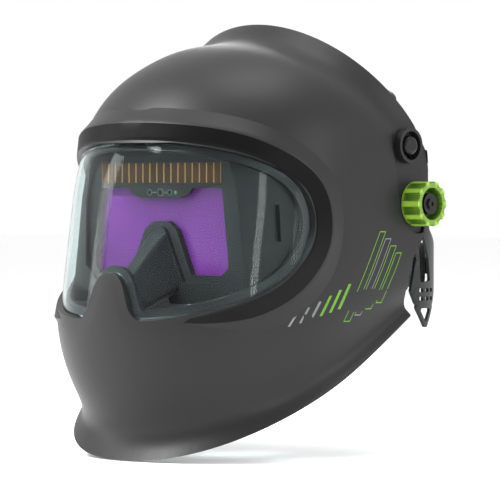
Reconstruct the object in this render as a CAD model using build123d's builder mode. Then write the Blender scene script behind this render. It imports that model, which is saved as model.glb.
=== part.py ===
"""Auto-darkening welding helmet with its adjustable headgear, in millimetres.

The origin is the middle of the axis on which the helmet tilts up. The wearer looks along -Y, +X is the
wearer's left and +Z is up. The shell is a set of arches in planes that fan out from one line behind the
neck, so every inner surface is the same set of arches moved inwards.
"""

from build123d import *
from math import atan2, cos, degrees, hypot, pi, radians, sin
import os

os.makedirs("parts", exist_ok=True)


def save(builder, name):
    """Labels a finished piece and writes its STEP file."""
    builder.part.label = name
    export_step(builder.part, f"parts/{name}.step")


# --------------------------------------------------------------------------------------------------
# Driving dimensions
# --------------------------------------------------------------------------------------------------
# Shell
FAN_Y, FAN_Z = 76.6, -76.0  # the line the arch planes fan out from
CROWN_ANGLE, RIM_ANGLE = 126.5, 210.5  # first and last arch plane, in degrees from +Y
SHELL_WALL = 3.0
ARCH_HALF_WIDTH = 110.0  # half the shell's width at eye height
REAR_RADIUS = 38.0  # how near the fan line the arches run before the rear is trimmed
# arch plane angle, radius at the front
FRONT_RADII = [
    (126.5, 203.0),
    (131.5, 203.5),
    (140.0, 225.0),
    (150.0, 248.0),
    (160.0, 259.5),
    (168.0, 263.0),
    (176.0, 264.0),
    (183.0, 268.5),
    (190.0, 275.0),
    (196.0, 277.5),
    (201.0, 276.5),
    (205.5, 277.0),
    (207.5, 283.0),
    (210.5, 301.0),
]
# arch plane angle, half width less ARCH_HALF_WIDTH, depth of the round front, roundness exponent
ARCH_SHAPES = [
    (126.5, -4.0, 104.0, 2.0),
    (132.0, -5.0, 104.0, 2.05),
    (145.0, -2.0, 108.0, 2.1),
    (160.0, 0.0, 112.0, 2.12),
    (175.0, 1.0, 118.0, 2.15),
    (190.0, 1.0, 126.0, 2.2),
    (199.0, -1.0, 130.0, 2.2),
    (205.0, -4.0, 136.0, 2.2),
    (210.5, 0.0, 154.0, 2.15),
]
SIDE_TAPER = 0.0004  # the sides close in behind the round front
# rear edge seen from the side, from the crown to the lower corner
REAR_EDGE = [(5, 30), (17, 13), (24, -7), (26, -27), (24, -46), (17, -64), (4, -79), (-2, -98), (0, -116)]

# Visor opening, seen from the side: the cover lens's edge from brow to chin
VISOR_EDGE = [(-27, 1), (4, -10), (32, -30), (40, -52), (34, -73), (10, -96), (-30, -114), (-50, -120)]
VISOR_Y = -140.0  # where the side view's y = 0 lies: the filter's front plane
VISOR_FRONT = -260.0
# Nose of the shell, seen from the front: half of the outline from its peak down
NOSE_EDGE = [(0, -88), (9, -91), (14.5, -99), (18, -109), (22.5, -116.5), (34, -120.5)]
LENS_INSET, LENS_THICKNESS = 3.5, 2.0
SEAT_GAP = 0.3  # behind the cover lens
LENS_GAP = 0.6  # between the cover lens's edge and the shell
SEAT_WIDTH = 5.0  # how far the lens lies on its seat
SEAT_THICKNESS = 3.0
BROW_WIDTH = 9.0  # the thick border round the opening

# Side recess, pivot and shade knob
FLOOR_X = 105.0  # outer face of the recess floor
FLOOR_THICKNESS = 4.0
PIVOT_RECESS_R, KNOB_RECESS_R = 19.0, 21.0
PIVOT_RECESS_Y = 2.0
KNOB_Y, KNOB_Z = 11.0, -41.0
PEG_R, PEG_HEAD_LENGTH = 7.0, 7.0
BOSS_R, BOSS_BORE_R, BOSS_HEIGHT = 12.5, 10.2, 5.5
RUNNING = 0.05  # radial clearance of a shaft in its hole
FACE_GAP = 0.4  # between faces that slide or turn past each other
KNOB_R, KNOB_LENGTH, KNOB_SCALLOPS = 16.0, 15.0, 10
KNOB_CUP_R, KNOB_CUP_DEPTH, KNOB_SCALLOP_R = 11.5, 9.5, 4.6
KNOB_HUB_R = 7.4
BUTTON_R, BUTTON_TRAVEL, BUTTON_HEX = 5.0, 1.5, 7.2
SHADE_SHAFT_R, POT_BUSH_R, POT_R, POT_LENGTH = 3.0, 5.0, 9.0, 11.0
POT_COVER_R = 12.0

# Filter cassette and its carrier
FILTER_TOP, FILTER_BOTTOM, FILTER_HALF_WIDTH, FILTER_TOP_X = -6.0, -97.0, 72.0, 66.0
FILTER_DEPTH, FILTER_WALL = 13.0, 2.0
WINDOW_TOP, WINDOW_BOTTOM, WINDOW_TOP_X, WINDOW_BOTTOM_X = -30.0, -90.0, 58.0, 64.0
LOBE_X, NOTCH_TOP_X, NOTCH_TOP = 29.0, 11.0, -53.0  # the window's edge round the nose
NOTCH_MARGIN = 6.0
NOTCH_ROUND = 4.0  # the corners of the notch's top are cut by this and rounded
GLASS_THICKNESS, GLASS_LAP, INNER_LENS_THICKNESS = 3.0, 2.6, 1.5
CARRIER_THICKNESS, CARRIER_LIP = 3.0, 2.0
CARRIER_INSET = 9.5  # from the shell's outer surface to the carrier's side wings
WING_THICKNESS, CARRIER_LAP = 2.5, 6.0
SOLAR_HALF_WIDTH, SOLAR_TOP, SOLAR_BOTTOM, SOLAR_THICKNESS, SOLAR_CELLS = 57.0, -12.5, -26.5, 0.8, 17
SENSOR_Z, SENSOR_XS, SENSOR_R, LED_X, LED_R = -33.0, (-10.5, 9.0), 1.7, 14.5, 0.9
WING_SLOT_HEIGHT, WING_SLOT_WIDTH, WING_SLOT_Y, WING_SLOT_Z = 25.0, 5.0, -121.0, -54.0
FILTER_SCREWS = [(62.5, -15.0), (69.0, -81.0)]
SCREW_R, SCREW_HEAD_R, SCREW_HEAD, SCREW_POST_R = 1.2, 2.3, 1.4, 2.4
TRIM_X = {"sensitivity": -40.0, "delay": -20.0}
TRIM_Z, TRIM_KNOB_R, TRIM_KNOB_LENGTH = -18.5, 6.0, 5.0
CARRIER_SCREW_Y, CARRIER_SCREW_ZS, CARRIER_SCREW_LENGTH = -96.5, (-44.0, -61.0), 8.5
CABLE_R = 2.0

# Headgear
BAND_X = 80.0  # inner face of the band's straight sides
BAND_FRONT_Y, BAND_BACK_Y = -100.0, 88.0
BAND_WALL = 2.4
BAND_BOTTOM, BAND_HEIGHT = 2.0, 28.0
BAND_END_Y = 15.0
PAD_THICKNESS = 8.0
NAPE_Z, NAPE_HALF_HEIGHT = -86.0, 14.0
NAPE_HALF_FLAT, NAPE_CORNER_R = 36.0, 44.0
PLATE_THICKNESS, PLATE_FRONT, PLATE_REAR, PLATE_TOP, PLATE_BOTTOM = 2.6, -36.0, 38.0, 30.0, -30.0
RAIL_HALF_LENGTH, RAIL_HALF_HEIGHT, RAIL_THICKNESS = 30.0, 11.0, 2.6
RAIL_NECK_HALF_HEIGHT, RAIL_NECK_THICKNESS = 7.0, 2.4
CARRIAGE_HALF_LENGTH, CARRIAGE_WALL, CARRIAGE_TRAVEL = 17.0, 3.0, 10.0
LOCK_PITCH, LOCK_Y, LOCK_TIP_R, LOCK_R, LOCK_HEAD_R = 5.0, 13.4, 1.5, 2.4, 3.3
LOCK_GROOVE_DEPTH, LOCK_PIT_R = 1.6, 2.3
STOP_R, STOP_ARM_R, STOP_CLEARANCE = 9.6, 16.5, 2.4
STOP_PIN_R, STOP_PIN_LENGTH, STOP_PIN_AT, STOP_PIN_ANGLE = 2.5, 4.4, 13.8, 110.0
TILT_RANGE = 65.0
STRAP_WIDTH, STRAP_THICKNESS = 18.0, 1.8
# middle of the strap's foot, top of the strap, lean to the rear in degrees
CROWN_STRAPS = {"front": (-23.0, 62.0, -8.0), "rear": (2.0, 51.0, 5.0)}
STRAP_FOOT_Z, STRAP_LEG, STRAP_TAIL = 22.0, 12.0, 6.5
RACK_HEIGHT, RACK_THICKNESS = 6.0, 3.0
TOOTH_MODULE, PINION_TEETH = 1.0, 12
HOUSING_HALF_WIDTH, HOUSING_WALL = 34.0, 2.0
RATCHET_KNOB_R, RATCHET_KNOB_LENGTH = 19.0, 12.0

VISOR_BOTTOM_Z = VISOR_EDGE[-1][1]


# --------------------------------------------------------------------------------------------------
# The shell's surface
# --------------------------------------------------------------------------------------------------
def smooth(keys, at, column=1):
    """A smooth curve through the keys, carried straight on past the first and the last."""
    xs = [key[0] for key in keys]
    ys = [key[column] for key in keys]
    steps = [(ys[i + 1] - ys[i]) / (xs[i + 1] - xs[i]) for i in range(len(xs) - 1)]
    slopes = [steps[0]]
    for i in range(1, len(steps)):
        before, after = xs[i] - xs[i - 1], xs[i + 1] - xs[i]
        slopes.append((steps[i - 1] * after + steps[i] * before) / (before + after))
    slopes.append(steps[-1])
    if at <= xs[0]:
        return ys[0] + slopes[0] * (at - xs[0])
    if at >= xs[-1]:
        return ys[-1] + slopes[-1] * (at - xs[-1])
    i = max(k for k in range(len(steps)) if xs[k] <= at)
    h = xs[i + 1] - xs[i]
    t = (at - xs[i]) / h
    start = (1 + 2 * t) * (1 - t) ** 2 * ys[i] + t * (1 - t) ** 2 * h * slopes[i]
    end = t * t * (3 - 2 * t) * ys[i + 1] + t * t * (t - 1) * h * slopes[i + 1]
    return start + end


def arch_points(angle, inset):
    """Points of one arch in its own plane, from the wearer's right rear round the front to the left."""
    front = smooth(FRONT_RADII, angle)
    half_width = ARCH_HALF_WIDTH + smooth(ARCH_SHAPES, angle, 1) - inset
    depth = smooth(ARCH_SHAPES, angle, 2)
    power = 2 / smooth(ARCH_SHAPES, angle, 3)
    centre = front - depth
    quarter = []
    for step in range(8):
        turn = radians(90 * step / 7)
        along = centre + (depth - inset) * cos(turn) ** power if step < 7 else centre
        quarter.append((half_width * sin(turn) ** power, along))
    rear = []
    for share in (0.34, 0.67, 1.0):
        back = share * (centre - REAR_RADIUS)
        rear.append((half_width - SIDE_TAPER * back**2, centre - back))
    half = quarter + rear
    return [(-x, r) for x, r in reversed(half[1:])] + half


def fan_plane(angle):
    turn = radians(angle)
    return Plane(origin=(0, FAN_Y, FAN_Z), x_dir=(1, 0, 0), z_dir=(0, -sin(turn), cos(turn)))


def envelope(inset, overrun=0.0):
    """The whole space inside the arches moved inwards by inset. overrun carries it on past both ends."""
    between = [129, 133, 138, 144, 151, 158, 166, 174, 182, 190, 197, 202, 205, 207.5]
    angles = [CROWN_ANGLE - overrun, *between, RIM_ANGLE + overrun]
    with BuildPart(mode=Mode.PRIVATE) as space:
        for angle in angles:
            points = arch_points(angle, inset)
            with BuildSketch(fan_plane(angle)):
                with BuildLine():
                    Spline(*points)
                    Line(points[-1], points[0])
                make_face()
        loft()
    return space.part


def half_width_at(y, z, inset=0.0):
    """Half the width between the shell's surfaces at a point of the side view."""
    angle = degrees(atan2(z - FAN_Z, y - FAN_Y)) % 360
    radius = hypot(z - FAN_Z, y - FAN_Y)
    depth = smooth(ARCH_SHAPES, angle, 2)
    centre = smooth(FRONT_RADII, angle) - depth
    half_width = ARCH_HALF_WIDTH + smooth(ARCH_SHAPES, angle, 1) - inset
    if radius <= centre:
        return half_width - SIDE_TAPER * (centre - radius) ** 2
    power = smooth(ARCH_SHAPES, angle, 3)
    return half_width * max(0.0, 1 - ((radius - centre) / (depth - inset)) ** power) ** (1 / power)


# --------------------------------------------------------------------------------------------------
# Outlines that several pieces share
# --------------------------------------------------------------------------------------------------
REACH = 130.0  # beyond the shell's sides


def moved(points, distance):
    """The points of an open curve, each moved square to the curve, to the left of its direction."""
    result = []
    for i, (u, v) in enumerate(points):
        u0, v0 = points[max(i - 1, 0)]
        u1, v1 = points[min(i + 1, len(points) - 1)]
        length = hypot(u1 - u0, v1 - v0)
        result.append((u - distance * (v1 - v0) / length, v + distance * (u1 - u0) / length))
    return result


def visor_prism(grow):
    """What lies in front of the visor's edge, grown by grow, less the nose, shrunk by grow."""
    edge = moved([(y + VISOR_Y, z) for y, z in VISOR_EDGE], grow)
    nose = moved([(-x, z) for x, z in reversed(NOSE_EDGE[1:])] + NOSE_EDGE, -grow)
    foot = VISOR_BOTTOM_Z - 3 * BROW_WIDTH
    with BuildPart(mode=Mode.PRIVATE) as prism:
        with BuildSketch(Plane.YZ):
            with BuildLine():
                Spline(*edge)
                Polyline(edge[-1], (VISOR_FRONT, edge[-1][1]), (VISOR_FRONT, edge[0][1]), edge[0])
            make_face()
        extrude(amount=REACH, both=True)
        with BuildSketch(Plane.XZ.offset(-VISOR_Y)):
            with BuildLine():
                Spline(*nose)
                Polyline(nose[-1], (nose[-1][0], foot), (nose[0][0], foot), nose[0])
            make_face()
        extrude(amount=REACH, mode=Mode.SUBTRACT)
    return prism.part


def recess_sketch(grow=0.0):
    """The side recess round the pivot and the shade knob, seen from the side."""
    with BuildSketch(Plane.YZ, mode=Mode.PRIVATE) as recess:
        with Locations((PIVOT_RECESS_Y, 0)):
            Circle(PIVOT_RECESS_R + grow)
        with Locations((KNOB_Y, KNOB_Z)):
            Circle(KNOB_RECESS_R + grow)
        make_hull()
    return recess.sketch


# --------------------------------------------------------------------------------------------------
# Shell
# --------------------------------------------------------------------------------------------------
OVERRUN = 1.0  # inner arches pass the end planes so the wall stays open there
LENS_BACK = LENS_INSET + LENS_THICKNESS
SEAT_INSET = LENS_BACK + SEAT_GAP
BORDER_INSET = SEAT_INSET + SEAT_THICKNESS
FLOOR_INNER_X = FLOOR_X - FLOOR_THICKNESS
BEHIND = 160.0
TAB_HALF_WIDTH, TAB_R, TAB_THICKNESS, TAB_SLOT_ANGLE = 3.0, 9.6, 2.4, 125.0

space = envelope(0)
seat_space = envelope(SEAT_INSET, OVERRUN)
lens_opening = visor_prism(0)

with BuildPart() as rear_cut:
    with BuildSketch(Plane.YZ):
        with BuildLine():
            Spline(*REAR_EDGE)
            top_end = (REAR_EDGE[0][0] - 60, REAR_EDGE[0][1] + 100)
            low_end = (REAR_EDGE[-1][0] + 6, REAR_EDGE[-1][1] - 60)
            behind = [(BEHIND, low_end[1]), (BEHIND, top_end[1])]
            Polyline(REAR_EDGE[-1], low_end, *behind, top_end, REAR_EDGE[0])
        make_face()
    extrude(amount=REACH, both=True)

border_space = envelope(BORDER_INSET, OVERRUN)
border_prism = visor_prism(BROW_WIDTH)
with BuildPart() as border:
    add(border_prism)
    add(space, mode=Mode.INTERSECT)
    add(border_space, mode=Mode.SUBTRACT)

with BuildPart() as lens_pocket:
    add(lens_opening)
    add(seat_space, mode=Mode.SUBTRACT)


def side_recess(side):
    """What the recess adds to the shell on one side, and what it takes away. side is 1 for the left."""
    if side > 0:
        inner, outer = recess_sketch(), recess_sketch(SHELL_WALL)
    else:
        centre = Plane.YZ * Location((PIVOT_RECESS_Y, 0))
        inner = centre * Circle(PIVOT_RECESS_R)
        outer = centre * Circle(PIVOT_RECESS_R + SHELL_WALL)
    at_floor = Location((side * FLOOR_INNER_X, 0, 0)) * outer
    cup = extrude(at_floor, amount=REACH - FLOOR_INNER_X, dir=(side, 0, 0))
    hollow = extrude(Location((side * FLOOR_X, 0, 0)) * inner, amount=REACH - FLOOR_X, dir=(side, 0, 0))
    return cup & space, hollow


def carrier_screw_head(z):
    """How far from the middle the inner face of the carrier lies under a carrier screw."""
    return half_width_at(CARRIER_SCREW_Y, z, CARRIER_INSET + WING_THICKNESS) - 1.0


def along_x(side, y, z, x):
    """A plane at x facing outwards on one side."""
    return Plane(origin=(side * x, y, z), x_dir=(0, side, 0), z_dir=(side, 0, 0))


recesses = [side_recess(side) for side in (1, -1)]
inner_space = envelope(SHELL_WALL, OVERRUN)
lens_window = visor_prism(-SEAT_WIDTH)

with BuildPart() as shell:
    add(space)
    add(inner_space, mode=Mode.SUBTRACT)
    add(border.part)
    add(lens_pocket.part, mode=Mode.SUBTRACT)
    add(lens_window, mode=Mode.SUBTRACT)
    for cup, hollow in recesses:
        add(cup)
        add(hollow, mode=Mode.SUBTRACT)
    add(rear_cut.part, mode=Mode.SUBTRACT)
    for side in (1, -1):
        with BuildSketch(along_x(side, 0, 0, FLOOR_X)):
            Circle(BOSS_R)
            Circle(BOSS_BORE_R, mode=Mode.SUBTRACT)
        extrude(amount=BOSS_HEIGHT)
        # key hole the peg's tabs pass through when the helmet is turned right back
        with BuildSketch(along_x(side, 0, 0, FLOOR_INNER_X)):
            Circle(PEG_R + RUNNING)
            slot_turn = TAB_SLOT_ANGLE if side > 0 else 180 - TAB_SLOT_ANGLE
            with Locations(Location((0, 0), slot_turn)):
                SlotOverall(2 * (TAB_R + FACE_GAP), 2 * (TAB_HALF_WIDTH + FACE_GAP))
        extrude(amount=FLOOR_THICKNESS, mode=Mode.SUBTRACT)
        # stop pin
        pin_turn = radians(STOP_PIN_ANGLE)
        with BuildSketch(
            along_x(-side, STOP_PIN_AT * cos(pin_turn), STOP_PIN_AT * sin(pin_turn), -FLOOR_INNER_X)
        ):
            Circle(STOP_PIN_R)
        extrude(amount=STOP_PIN_LENGTH)
    with BuildSketch(along_x(1, KNOB_Y, KNOB_Z, FLOOR_INNER_X)):
        Circle(POT_BUSH_R + RUNNING)
    extrude(amount=FLOOR_THICKNESS, mode=Mode.SUBTRACT)
    for z in CARRIER_SCREW_ZS:
        tip = carrier_screw_head(z) + CARRIER_SCREW_LENGTH + FACE_GAP
        with BuildSketch(Plane(origin=(-tip, CARRIER_SCREW_Y, z), x_dir=(0, 1, 0), z_dir=(1, 0, 0))):
            Circle(SCREW_R)
        extrude(amount=2 * tip, mode=Mode.SUBTRACT)
save(shell, "helmet_shell")

lens_front = envelope(LENS_INSET, OVERRUN)
lens_back = envelope(LENS_BACK, OVERRUN)
lens_outline = visor_prism(-LENS_GAP)

with BuildPart() as cover_lens:
    add(lens_front)
    add(lens_back, mode=Mode.SUBTRACT)
    add(lens_outline, mode=Mode.INTERSECT)
save(cover_lens, "front_cover_lens")


# --------------------------------------------------------------------------------------------------
# Filter cassette. Front planes face the way the wearer looks.
# --------------------------------------------------------------------------------------------------
FILTER_FRONT_Y = VISOR_Y
FILTER_BACK_Y = VISOR_Y + FILTER_DEPTH
LID_Y = FILTER_BACK_Y - FILTER_WALL
GLASS_Y = FILTER_FRONT_Y + 5.0
BOARD_Y, BOARD_THICKNESS = FILTER_FRONT_Y + 6.0, 1.2
DIVIDER = 1.5


def front_plane(y):
    return Plane(origin=(0, y, 0), x_dir=(1, 0, 0), z_dir=(0, -1, 0))


def slab(outline, front, back):
    """An outline seen from the front, made solid between two depths."""
    at_back = Location((0, back, 0)) * outline
    return extrude(at_back, amount=back - front, dir=(0, -1, 0), mode=Mode.PRIVATE)


def mirrored_outline(half, radius, grow):
    with BuildSketch(Plane.XZ, mode=Mode.PRIVATE) as outline:
        with BuildLine():
            Polyline(*half, *[(-x, z) for x, z in reversed(half)], close=True)
        make_face()
        fillet(outline.vertices(), radius)
        if grow:
            offset(amount=grow)
    return outline.sketch


def cassette_outline(grow=0.0):
    half = [
        (FILTER_TOP_X, FILTER_TOP),
        (FILTER_HALF_WIDTH, -40),
        (FILTER_HALF_WIDTH, FILTER_BOTTOM + 12),
        (FILTER_HALF_WIDTH - 12, FILTER_BOTTOM),
        (LOBE_X - NOTCH_MARGIN, FILTER_BOTTOM),
        (NOTCH_TOP_X - NOTCH_MARGIN, NOTCH_TOP - NOTCH_MARGIN),
    ]
    return mirrored_outline(half, 4.0, grow)


def window_outline(grow=0.0):
    half = [
        (WINDOW_TOP_X, WINDOW_TOP),
        (WINDOW_BOTTOM_X, WINDOW_BOTTOM + 6),
        (WINDOW_BOTTOM_X - 6, WINDOW_BOTTOM),
        (LOBE_X, WINDOW_BOTTOM),
        (NOTCH_TOP_X + NOTCH_ROUND, NOTCH_TOP - NOTCH_ROUND - 1.5),
        (NOTCH_TOP_X - NOTCH_ROUND, NOTCH_TOP),
    ]
    return mirrored_outline(half, 3.0, grow)


def block(x0, x1, y0, y1, z0, z1):
    """A box between two corners."""
    box = Box(x1 - x0, y1 - y0, z1 - z0, align=Align.MIN, mode=Mode.PRIVATE)
    return Location((x0, y0, z0)) * box


def peg(radius, x, z, front, back, sides=0):
    """A round or many-sided bar along Y."""
    with BuildSketch(Plane.XZ, mode=Mode.PRIVATE) as outline:
        with Locations((x, z)):
            if sides:
                RegularPolygon(radius, sides)
            else:
                Circle(radius)
    return slab(outline.sketch, front, back)


screw_places = [(side * x, z) for side in (1, -1) for x, z in FILTER_SCREWS]

with BuildPart() as housing:
    add(slab(cassette_outline(), FILTER_FRONT_Y, LID_Y + FILTER_WALL))
    hollow = slab(cassette_outline(-FILTER_WALL), FILTER_FRONT_Y + FILTER_WALL, FILTER_BACK_Y)
    add(hollow, mode=Mode.SUBTRACT)
    # frame the glass rests on, and the wall between the glass and the electronics
    add(slab(window_outline(GLASS_LAP + 1.4), FILTER_FRONT_Y + FILTER_WALL, GLASS_Y))
    sides = (-WINDOW_BOTTOM_X, WINDOW_BOTTOM_X)
    add(block(*sides, FILTER_FRONT_Y + FILTER_WALL, GLASS_Y, WINDOW_TOP, WINDOW_TOP + DIVIDER))
    add(slab(window_outline(), FILTER_FRONT_Y, GLASS_Y), mode=Mode.SUBTRACT)
    with BuildSketch(front_plane(FILTER_FRONT_Y + FILTER_WALL)):
        with BuildLine():
            right_half = [(31, -29.5), (27, -34), (18.5, -37)]
            left_half = [(-x, z) for x, z in reversed(right_half)]
            Polyline(*right_half, *left_half, close=True)
        make_face()
    extrude(amount=FILTER_WALL)
    add(
        block(
            -SOLAR_HALF_WIDTH,
            SOLAR_HALF_WIDTH,
            FILTER_FRONT_Y,
            FILTER_FRONT_Y + SOLAR_THICKNESS,
            SOLAR_BOTTOM,
            SOLAR_TOP,
        ),
        mode=Mode.SUBTRACT,
    )
    for x in SENSOR_XS:
        add(peg(SENSOR_R + RUNNING, x, SENSOR_Z, FILTER_FRONT_Y, GLASS_Y), mode=Mode.SUBTRACT)
    add(peg(SENSOR_R + 0.6, 0, SENSOR_Z, FILTER_FRONT_Y, GLASS_Y, 6), mode=Mode.SUBTRACT)
    add(peg(LED_R + RUNNING, LED_X, SENSOR_Z, FILTER_FRONT_Y, GLASS_Y), mode=Mode.SUBTRACT)
    for x, z in screw_places:
        add(peg(SCREW_POST_R, x, z, FILTER_FRONT_Y + 1, LID_Y))
        add(peg(SCREW_R, x, z, FILTER_FRONT_Y + 3, FILTER_BACK_Y), mode=Mode.SUBTRACT)
save(housing, "filter_housing")

with BuildPart() as glass:
    add(slab(window_outline(GLASS_LAP), GLASS_Y, GLASS_Y + GLASS_THICKNESS))
save(glass, "filter_glass")

with BuildPart() as solar:
    cell = 2 * (SOLAR_HALF_WIDTH - FACE_GAP / 2) / SOLAR_CELLS
    add(
        block(
            -SOLAR_HALF_WIDTH + FACE_GAP / 2,
            SOLAR_HALF_WIDTH - FACE_GAP / 2,
            FILTER_FRONT_Y,
            FILTER_FRONT_Y + SOLAR_THICKNESS,
            SOLAR_BOTTOM + FACE_GAP / 2,
            SOLAR_TOP - FACE_GAP / 2,
        )
    )
    for i in range(1, SOLAR_CELLS):
        x = -SOLAR_HALF_WIDTH + FACE_GAP / 2 + i * cell
        groove = block(x - 0.3, x + 0.3, FILTER_FRONT_Y, FILTER_FRONT_Y + 0.2, SOLAR_BOTTOM, SOLAR_TOP)
        add(groove, mode=Mode.SUBTRACT)
save(solar, "solar_cell_strip")

with BuildPart() as sensors:
    for x in SENSOR_XS:
        add(peg(SENSOR_R, x, SENSOR_Z, FILTER_FRONT_Y - 0.3, FILTER_FRONT_Y + FILTER_WALL))
save(sensors, "photo_sensors")

with BuildPart() as sensor_window:
    add(peg(SENSOR_R + 0.5, 0, SENSOR_Z, FILTER_FRONT_Y - 0.3, FILTER_FRONT_Y + FILTER_WALL, 6))
save(sensor_window, "infrared_sensor")

with BuildPart() as led:
    add(peg(LED_R, LED_X, SENSOR_Z, FILTER_FRONT_Y - 0.2, FILTER_FRONT_Y + FILTER_WALL))
save(led, "status_led")

with BuildPart() as board:
    add(block(-59, 59, BOARD_Y, BOARD_Y + BOARD_THICKNESS, -26.8, -10))
save(board, "circuit_board")

BATTERY = (8.0, 48.0, -26.0, -12.0)  # x from and to, z from and to
with BuildPart() as battery:
    x0, x1, z0, z1 = BATTERY
    add(block(x0, x1, FILTER_FRONT_Y + FILTER_WALL + 0.3, BOARD_Y - 0.3, z0, z1))
    fillet(battery.edges().filter_by(Axis.X), 1.4)
save(battery, "lipo_battery")

board_back = BOARD_Y + BOARD_THICKNESS
USB_X, USB_WIDTH, USB_HEIGHT = 40.0, 8.0, 3.2
usb_z = TRIM_Z - USB_HEIGHT / 2
with BuildPart() as usb:
    add(block(USB_X, USB_X + USB_WIDTH, board_back, FILTER_BACK_Y - 0.2, usb_z, usb_z + USB_HEIGHT))
    mouth_x = (USB_X + 0.5, USB_X + USB_WIDTH - 0.5)
    mouth = block(*mouth_x, LID_Y, FILTER_BACK_Y, usb_z + 0.5, usb_z + USB_HEIGHT - 0.5)
    add(mouth, mode=Mode.SUBTRACT)
save(usb, "usb_socket")

TRIMMER_R, TRIM_SHAFT_R = 4.5, 1.5
for name, x in TRIM_X.items():
    with BuildPart() as trimmer:
        add(peg(TRIMMER_R, x, TRIM_Z, board_back, LID_Y - 0.3))
        add(peg(TRIM_SHAFT_R + RUNNING, x, TRIM_Z, board_back + 1, LID_Y), mode=Mode.SUBTRACT)
    save(trimmer, f"{name}_trimmer")
    with BuildPart() as trim_knob:
        face = FILTER_BACK_Y + FACE_GAP
        add(peg(TRIM_KNOB_R, x, TRIM_Z, face, face + TRIM_KNOB_LENGTH))
        for i in range(12):
            turn = 2 * pi * i / 12
            notch_x, notch_z = x + TRIM_KNOB_R * cos(turn), TRIM_Z + TRIM_KNOB_R * sin(turn)
            add(peg(0.7, notch_x, notch_z, face, face + TRIM_KNOB_LENGTH), mode=Mode.SUBTRACT)
        end = face + TRIM_KNOB_LENGTH
        pointer = block(x - 0.6, x + 0.6, end, end + 0.8, TRIM_Z, TRIM_Z + 5)
        add(pointer)
        add(peg(TRIM_SHAFT_R, x, TRIM_Z, board_back + 1.2, face))
    save(trim_knob, f"{name}_knob")

INNER_LENS_TOP = WINDOW_TOP + 2.5
CLIP_LIP = 2.0
with BuildPart() as filter_lid:
    add(slab(cassette_outline(-FILTER_WALL - FACE_GAP / 2), LID_Y, FILTER_BACK_Y))
    # rib that holds the glass down
    add(slab(window_outline(GLASS_LAP), GLASS_Y + GLASS_THICKNESS, LID_Y))
    add(slab(window_outline(), FILTER_FRONT_Y, FILTER_BACK_Y), mode=Mode.SUBTRACT)
    for x, z in screw_places:
        add(peg(SCREW_R + FACE_GAP / 2, x, z, FILTER_FRONT_Y, FILTER_BACK_Y), mode=Mode.SUBTRACT)
    for x in TRIM_X.values():
        add(peg(TRIM_SHAFT_R + RUNNING, x, TRIM_Z, FILTER_FRONT_Y, FILTER_BACK_Y), mode=Mode.SUBTRACT)
    margin = FACE_GAP / 2
    usb_hole = block(
        USB_X - margin,
        USB_X + USB_WIDTH + margin,
        LID_Y,
        FILTER_BACK_Y,
        usb_z - margin,
        usb_z + USB_HEIGHT + margin,
    )
    add(usb_hole, mode=Mode.SUBTRACT)
    # two side guides and their lips hold the inner cover lens
    inner_lens_back = FILTER_BACK_Y + FACE_GAP + INNER_LENS_THICKNESS
    guide_x = WINDOW_BOTTOM_X + 1.2
    for side in (1, -1):
        guide = sorted((side * guide_x, side * (guide_x + 1.6)))
        add(block(*guide, FILTER_BACK_Y, inner_lens_back + 1.6, -78, -34))
        add(
            block(
                *sorted((side * (guide_x - CLIP_LIP), side * guide_x)),
                inner_lens_back + FACE_GAP,
                inner_lens_back + 1.6,
                -78,
                -34,
            )
        )
save(filter_lid, "filter_lid")

with BuildPart() as inner_lens:
    half = [
        (guide_x - FACE_GAP, INNER_LENS_TOP),
        (guide_x - FACE_GAP, WINDOW_BOTTOM + 4),
        (guide_x - 8, WINDOW_BOTTOM - 2),
        (LOBE_X - 2, WINDOW_BOTTOM - 2),
        (NOTCH_TOP_X - 2, NOTCH_TOP - 1),
    ]
    outline = mirrored_outline(half, 3.0, 0)
    front = FILTER_BACK_Y + FACE_GAP
    add(slab(outline, front, front + INNER_LENS_THICKNESS))
save(inner_lens, "inner_cover_lens")


def screw(x, z, head_y, length):
    """A pan-head screw whose head stands behind head_y and whose shank points forward."""
    head = peg(SCREW_HEAD_R, x, z, head_y, head_y + SCREW_HEAD)
    body = head + peg(SCREW_R - RUNNING, x, z, head_y - length, head_y)
    slot = block(x - 1.6, x + 1.6, head_y + SCREW_HEAD - 0.6, head_y + SCREW_HEAD, z - 0.3, z + 0.3)
    return body - slot


with BuildPart() as filter_screws:
    for x, z in screw_places:
        add(screw(x, z, FILTER_BACK_Y, 8.0))
save(filter_screws, "filter_screws")

# --------------------------------------------------------------------------------------------------
# Carrier that holds the cassette in the shell
# --------------------------------------------------------------------------------------------------
PLATE_Y = FILTER_FRONT_Y - CARRIER_THICKNESS
carrier_space = envelope(CARRIER_INSET, OVERRUN)
wing_space = envelope(CARRIER_INSET + WING_THICKNESS, OVERRUN)
carrier_outline = visor_prism(CARRIER_LAP)
behind_plate = block(-REACH, REACH, FILTER_FRONT_Y, 0, -REACH, REACH)

with BuildPart() as carrier:
    add(carrier_space)
    add(block(-REACH, REACH, PLATE_Y, -60, -REACH, REACH), mode=Mode.INTERSECT)
    add(wing_space & behind_plate, mode=Mode.SUBTRACT)
    add(carrier_outline, mode=Mode.INTERSECT)
    add(slab(cassette_outline(-CARRIER_LIP), PLATE_Y, FILTER_FRONT_Y), mode=Mode.SUBTRACT)
    add(slab(cassette_outline(FACE_GAP), FILTER_FRONT_Y, FILTER_BACK_Y), mode=Mode.SUBTRACT)
    with Locations((0, WING_SLOT_Y, WING_SLOT_Z)):
        Box(2 * REACH, WING_SLOT_WIDTH, WING_SLOT_HEIGHT, mode=Mode.SUBTRACT)
    for z in CARRIER_SCREW_ZS:
        with BuildSketch(Plane.YZ.offset(-REACH)):
            with Locations((CARRIER_SCREW_Y, z)):
                Circle(SCREW_R + FACE_GAP)
        extrude(amount=2 * REACH, mode=Mode.SUBTRACT)
save(carrier, "filter_carrier")

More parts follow.
